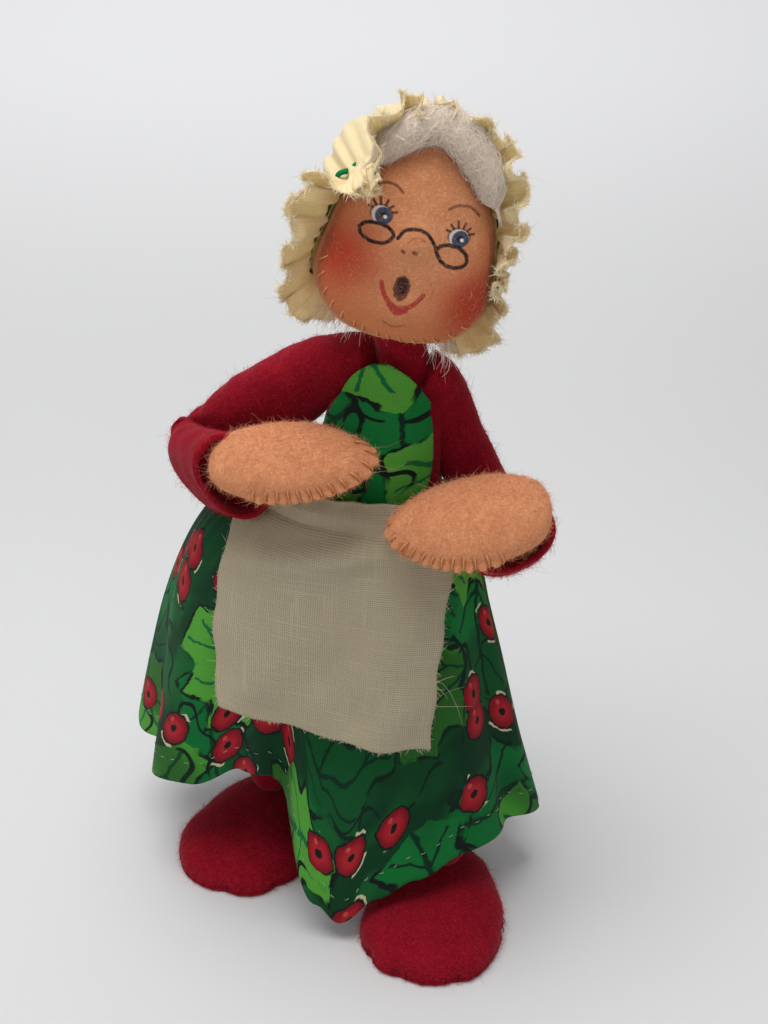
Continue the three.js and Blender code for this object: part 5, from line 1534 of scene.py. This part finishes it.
# The skirt hangs from the waist as a bell with deep folds; angles run from the doll's left.
skirtSettings = dict(
    gather=4.6, hemHalfWidth=49.8, hemHalfDepth=34.0, hemMiddle=(-15.2, 2.0), foot=15.0,
    roundness=0.64, skew=0.26, pleatDepth=0.7, pleatCount=12, columns=480, rows=84, thickness=0.5,
    # each fold's angle, half width in degrees and depth at the hem; then the hem's height at each angle
    folds=[(264, 6, 10), (244, 15, 11), (200, 13, 11), (20, 9, 5), (62, 9, 6), (104, 9, 6), (146, 9, 6),
           (344, 7, 3)],
    hem=[(0, 18), (60, 17), (120, 19), (170, 30), (186, 24), (200, 26), (213, 24), (232, 26), (246, 32),
         (258, 34), (268, 25), (279, 9), (285, 5), (294, 11), (304, 15), (320, 19), (342, 20)],
    stitchRise=6.0, stitchStep=3.4,
)


# Value at an angle, eased between the nearest two entries of a list that goes once round.
def aroundList(table, angle):
    places = np.array([p for p, _ in table] + [table[0][0] + 360.0])
    values = np.array([v for _, v in table] + [table[0][1]], float)
    turn = (np.asarray(angle, float) - places[0]) % 360 + places[0]
    i = np.clip(np.searchsorted(places, turn, side="right") - 1, 0, len(places) - 2)
    share = (turn - places[i]) / (places[i + 1] - places[i])
    return lerp(values[i], values[i + 1], (1 - np.cos(np.pi * share)) / 2)


# The skirt's plain form without folds: its middle, half width, half depth and share of the drop.
def bell(turn, height):
    s = skirtSettings
    share = np.maximum((waistHeight - height) / (waistHeight - s["foot"]), 0)
    spread = share ** (s["roundness"] + s["skew"] * np.cos(turn))
    waistX, waistHalfWidth, waistHalfDepth = bodySection(waistHeight)
    middle = stacked(lerp(waistX, s["hemMiddle"][0], spread), lerp(0, s["hemMiddle"][1], spread), height)
    halfWidth = lerp(waistHalfWidth + s["gather"], s["hemHalfWidth"], spread)
    halfDepth = lerp(waistHalfDepth + s["gather"], s["hemHalfDepth"], spread)
    return middle, halfWidth, halfDepth, share


# The bell, drawn in by folds that deepen towards the hem and by pleats half-way down, with gathers at
# the waist and slow ripples added.
def skirtPoint(angle, height):
    s = skirtSettings
    angle, height = np.broadcast_arrays(np.asarray(angle, float), np.asarray(height, float))
    turn = np.radians(angle)
    middle, halfWidth, halfDepth, share = bell(turn, height)
    reach = stacked(halfWidth * np.cos(turn), halfDepth * np.sin(turn), 0)
    inward = 0
    for place, halfAngle, depth in s["folds"]:
        away = (angle - place + 540) % 360 - 180
        inward = inward + depth * hump(away / halfAngle) * share ** 1.5
    pleats = s["pleatDepth"] * (1 + np.sin(s["pleatCount"] * turn))
    inward = inward + pleats * 4 * np.maximum(share * (1 - share), 0)
    gathers = np.sin(44 * turn + 1.5 * np.sin(5 * turn)) * 0.4 * np.exp(-share * 9)
    soft = (0.9 * ripple(turn * 3.0, share * 2.0, seed=151, waves=7, low=1, high=3.2)
            + 0.4 * ripple(turn * 9.0, share * 6.0, seed=152, waves=9, low=1, high=3)) * smooth(0, 0.3, share)
    size = np.linalg.norm(reach, axis=-1, keepdims=True)
    return middle + reach * (1 - (inward - gathers - soft)[..., None] / size)


# Rows from the rolled edge at the waist down to the hem, whose height goes by the angle.
def makeSkirt(s):
    angle = np.linspace(0, 360, s["columns"], endpoint=False)
    hem = aroundList(s["hem"], angle)
    waistX, waistHalfWidth, waistHalfDepth = bodySection(waistHeight)
    turn = np.radians(angle)
    rows = []
    for out, lift in ((0.6, -1.4), (1.1, -0.2), (1.9, 0.5), (3.1, 0.7), (4.0, 0.2)):
        rows.append(stacked(waistX + (waistHalfWidth + out) * np.cos(turn),
                            (waistHalfDepth + out) * np.sin(turn), waistHeight + lift))
    for share in np.linspace(0.03, 1, s["rows"]) ** 0.92:
        rows.append(skirtPoint(angle, lerp(waistHeight, hem, share)))
    grid = np.array(rows)
    evened(grid, 3, 8)
    low = grid[-14]
    u = travelled(low)
    step = np.linalg.norm(np.diff(grid[::-1], axis=0), axis=-1)
    v = np.concatenate([np.zeros((1, len(angle))), np.cumsum(step, axis=0)])[::-1]
    spots = stacked(u, v, 0)
    skirt = gridObject("skirtCloth", grid, printed, loopColumns=True, spots=spots, inside=(-6, 0, 60))
    thicken(skirt, s["thickness"])
    finishPiece(skirt, "torso", "green_print", ["skirt"])
    return grid, spots


# A running stitch that holds the turned hem, a constant way above the cloth's edge.
def makeHemStitches(grid, spots, settings):
    row = np.argmin(np.abs(spots[..., 1] - settings["stitchRise"]), axis=0)
    columns = np.arange(grid.shape[1])
    line = grid[row, columns]
    across, down = (np.gradient(grid, axis=axis)[row, columns] for axis in (1, 0))
    outward = unit(np.cross(across, down))
    middle = np.array([-8.0, 0.0, 0.0])
    flip = np.sign(((line - middle)[:, :2] * outward[:, :2]).sum(1))
    outward = outward * np.where(flip == 0, 1, flip)[:, None]
    line = np.vstack([line, line[:1]])
    outward = np.vstack([outward, outward[:1]])
    length = travelled(line)
    random = np.random.default_rng(161)
    start = np.arange(0, length[-1] - 3, settings["stitchStep"]) + random.uniform(-0.25, 0.25)
    t = np.linspace(0, 1.3, 6)
    at = start[:, None] + t[None] + random.uniform(-0.2, 0.2, (len(start), 1))
    lift = np.array([-0.25, 0.32, 0.42, 0.42, 0.32, -0.25]) + 0.02
    paths = readAt(at, length, line) + readAt(at, length, outward) * lift[:, None]
    paths[..., 2] += random.uniform(-0.15, 0.15, (len(start), 1))
    stitches = tubesObject("hemStitches", paths, 0.09, paleThread, sides=4)
    finishPiece(stitches, "torso", "green_print")


skirtGrid, skirtSpots = makeSkirt(skirtSettings)
makeHemStitches(skirtGrid, skirtSpots, skirtSettings)
say("skirt")

# The bib: printed cloth with an arched top, lying on the chest.
bibSettings = dict(halfWidth=12.2, height=29.5, low=95.0, tuck=6.0, columns=90, rows=100, thickness=0.45)


# Across and up: an arched outline laid on the body's ovals.
def makeBib(s):
    share = np.linspace(0, 1, s["rows"])[:, None]
    share = 1 - (1 - share) ** 1.25
    across = np.linspace(-1, 1, s["columns"])[None]
    halfSpan = s["halfWidth"] * np.sqrt(np.clip(1 - np.maximum((share - 0.3) / 0.704, 0) ** 2, 0.0001, 1))
    height = s["low"] - s["tuck"] + (s["height"] + s["tuck"]) * share
    x, halfWidth, halfDepth = bodySection(np.minimum(height, neckHeight - 5))
    sideways = halfSpan * across
    bend = np.minimum(np.abs(sideways / (halfWidth + 1.2)), 0.97)
    out = halfDepth + 1.0 + 0.25 * ripple(sideways * 0.25, height * 0.2, seed=171)
    y = -out * np.sqrt(1 - bend ** 2) - 0.25 * smooth(0.75, 1.0, np.abs(across)) * smooth(0.2, 0.5, share)
    grid = stacked(x + sideways, y, height)
    spots = stacked(sideways * 1.05 + 21.0, height - 14.0, 0)
    bib = gridObject("bibCloth", grid, printed, spots=spots, inside=(0, 6, 108))
    thicken(bib, s["thickness"])
    finishPiece(bib, "torso", "green_print", ["bib"])
    edge = np.concatenate([grid[20:, 0], grid[-1, 1:-1], grid[:19:-1, -1]])
    middle = grid.reshape(-1, 3).mean(0)
    frayed("bibFray", edge, (edge - middle) * [1, 0.2, 1], 120, 0.8, 173, greenThread, "torso",
           "green_print", 0.045)


makeBib(bibSettings)

# The apron: a raw rectangle of muslin hanging flat in front of the skirt.
apronSettings = dict(width=45.0, length=46.0, slope=6.0, middle=-5.0, top=97.9, rows=150, columns=156,
                     thickness=0.42, wrap=0.8)


# Across and down: a sheet curved like the bell's front, with folds, gathers at its top and curled
# edges.
def apronPoint(across, down):
    s = apronSettings
    height = s["top"] - s["length"] * down
    middle, halfWidth, halfDepth, _ = bell(math.radians(270), np.minimum(height, waistHeight))
    spread = 1 - 0.035 * np.sin(np.pi * down) + 0.03 * down
    x = s["middle"] + s["width"] * spread * across \
        + 4.0 * np.sin(np.pi * down) * np.minimum(across, 0) * 2 - 3.0 * down ** 2 * np.maximum(across, 0) * 2
    wrap = s["wrap"] * halfDepth * (x - middle[..., 0]) ** 2 / (2 * halfWidth ** 2)
    folds = 2.0 * down ** 1.1 * (np.sin(across * 8.5 + 0.8 + 1.3 * down) - 1) \
        + 0.8 * ripple(across * 5, down * 5, seed=181) \
        - 2.6 * hump((down - 0.22 + 0.25 * across) / 0.065) * np.cos(across * 2.6)
    gathers = 0.3 * np.exp(-down * 12) * np.sin(across * 46) + 1.6 * smooth(0.075, 0.0, down) - 0.8
    curl = 0.9 * smooth(0.86, 1.0, down) * np.sin(across * 9 + 1.0) \
        + 0.6 * smooth(0.42, 0.5, np.abs(across)) * down
    y = middle[..., 1] - halfDepth - 1.25 - 0.5 * down + wrap + folds * 0.8 + gathers - curl * 0.5
    sag = 1.1 * np.cos(across * np.pi) * down + s["slope"] * down * across \
        + 0.35 * np.sin(across * 21 + 2) * smooth(0.9, 1, down)
    return stacked(x + 0.25 * np.sin(down * 26) * smooth(0.4, 0.5, np.abs(across)), y, height - sag)


def makeApron(s):
    down, across = np.meshgrid(
        np.linspace(0, 1, s["rows"]), np.linspace(-0.5, 0.5, s["columns"]), indexing="ij")
    grid = apronPoint(across, down)
    spots = stacked(across * s["width"] + 100, (1 - down) * s["length"] + 40, 0)
    apron = gridObject("apronCloth", grid, muslin, spots=spots, inside=(-5, 20, 75))
    thicken(apron, s["thickness"])
    finishPiece(apron, "torso", "muslin", ["apron"])
    for name, edge, before, count, length in (
        ("apronFrayLeft", grid[:, 0], grid[:, 3], 240, 0.8),
        ("apronFrayRight", grid[:, -1], grid[:, -4], 280, 0.9),
        ("apronFrayLow", grid[-1], grid[-4], 300, 0.9), ("apronFrayTop", grid[0], grid[3], 110, 0.7),
        ("apronThreads", grid[84:122, -1], grid[84:122, -4], 7, 5.5),
        ("apronThreadsLeft", grid[30:140, 0], grid[30:140, 3], 6, 3.0),
    ):
        frayed(name, edge, edge - before, count, length, 183 + count, apronFibre, "torso", "muslin", 0.05)


makeApron(apronSettings)
say("bib and apron")
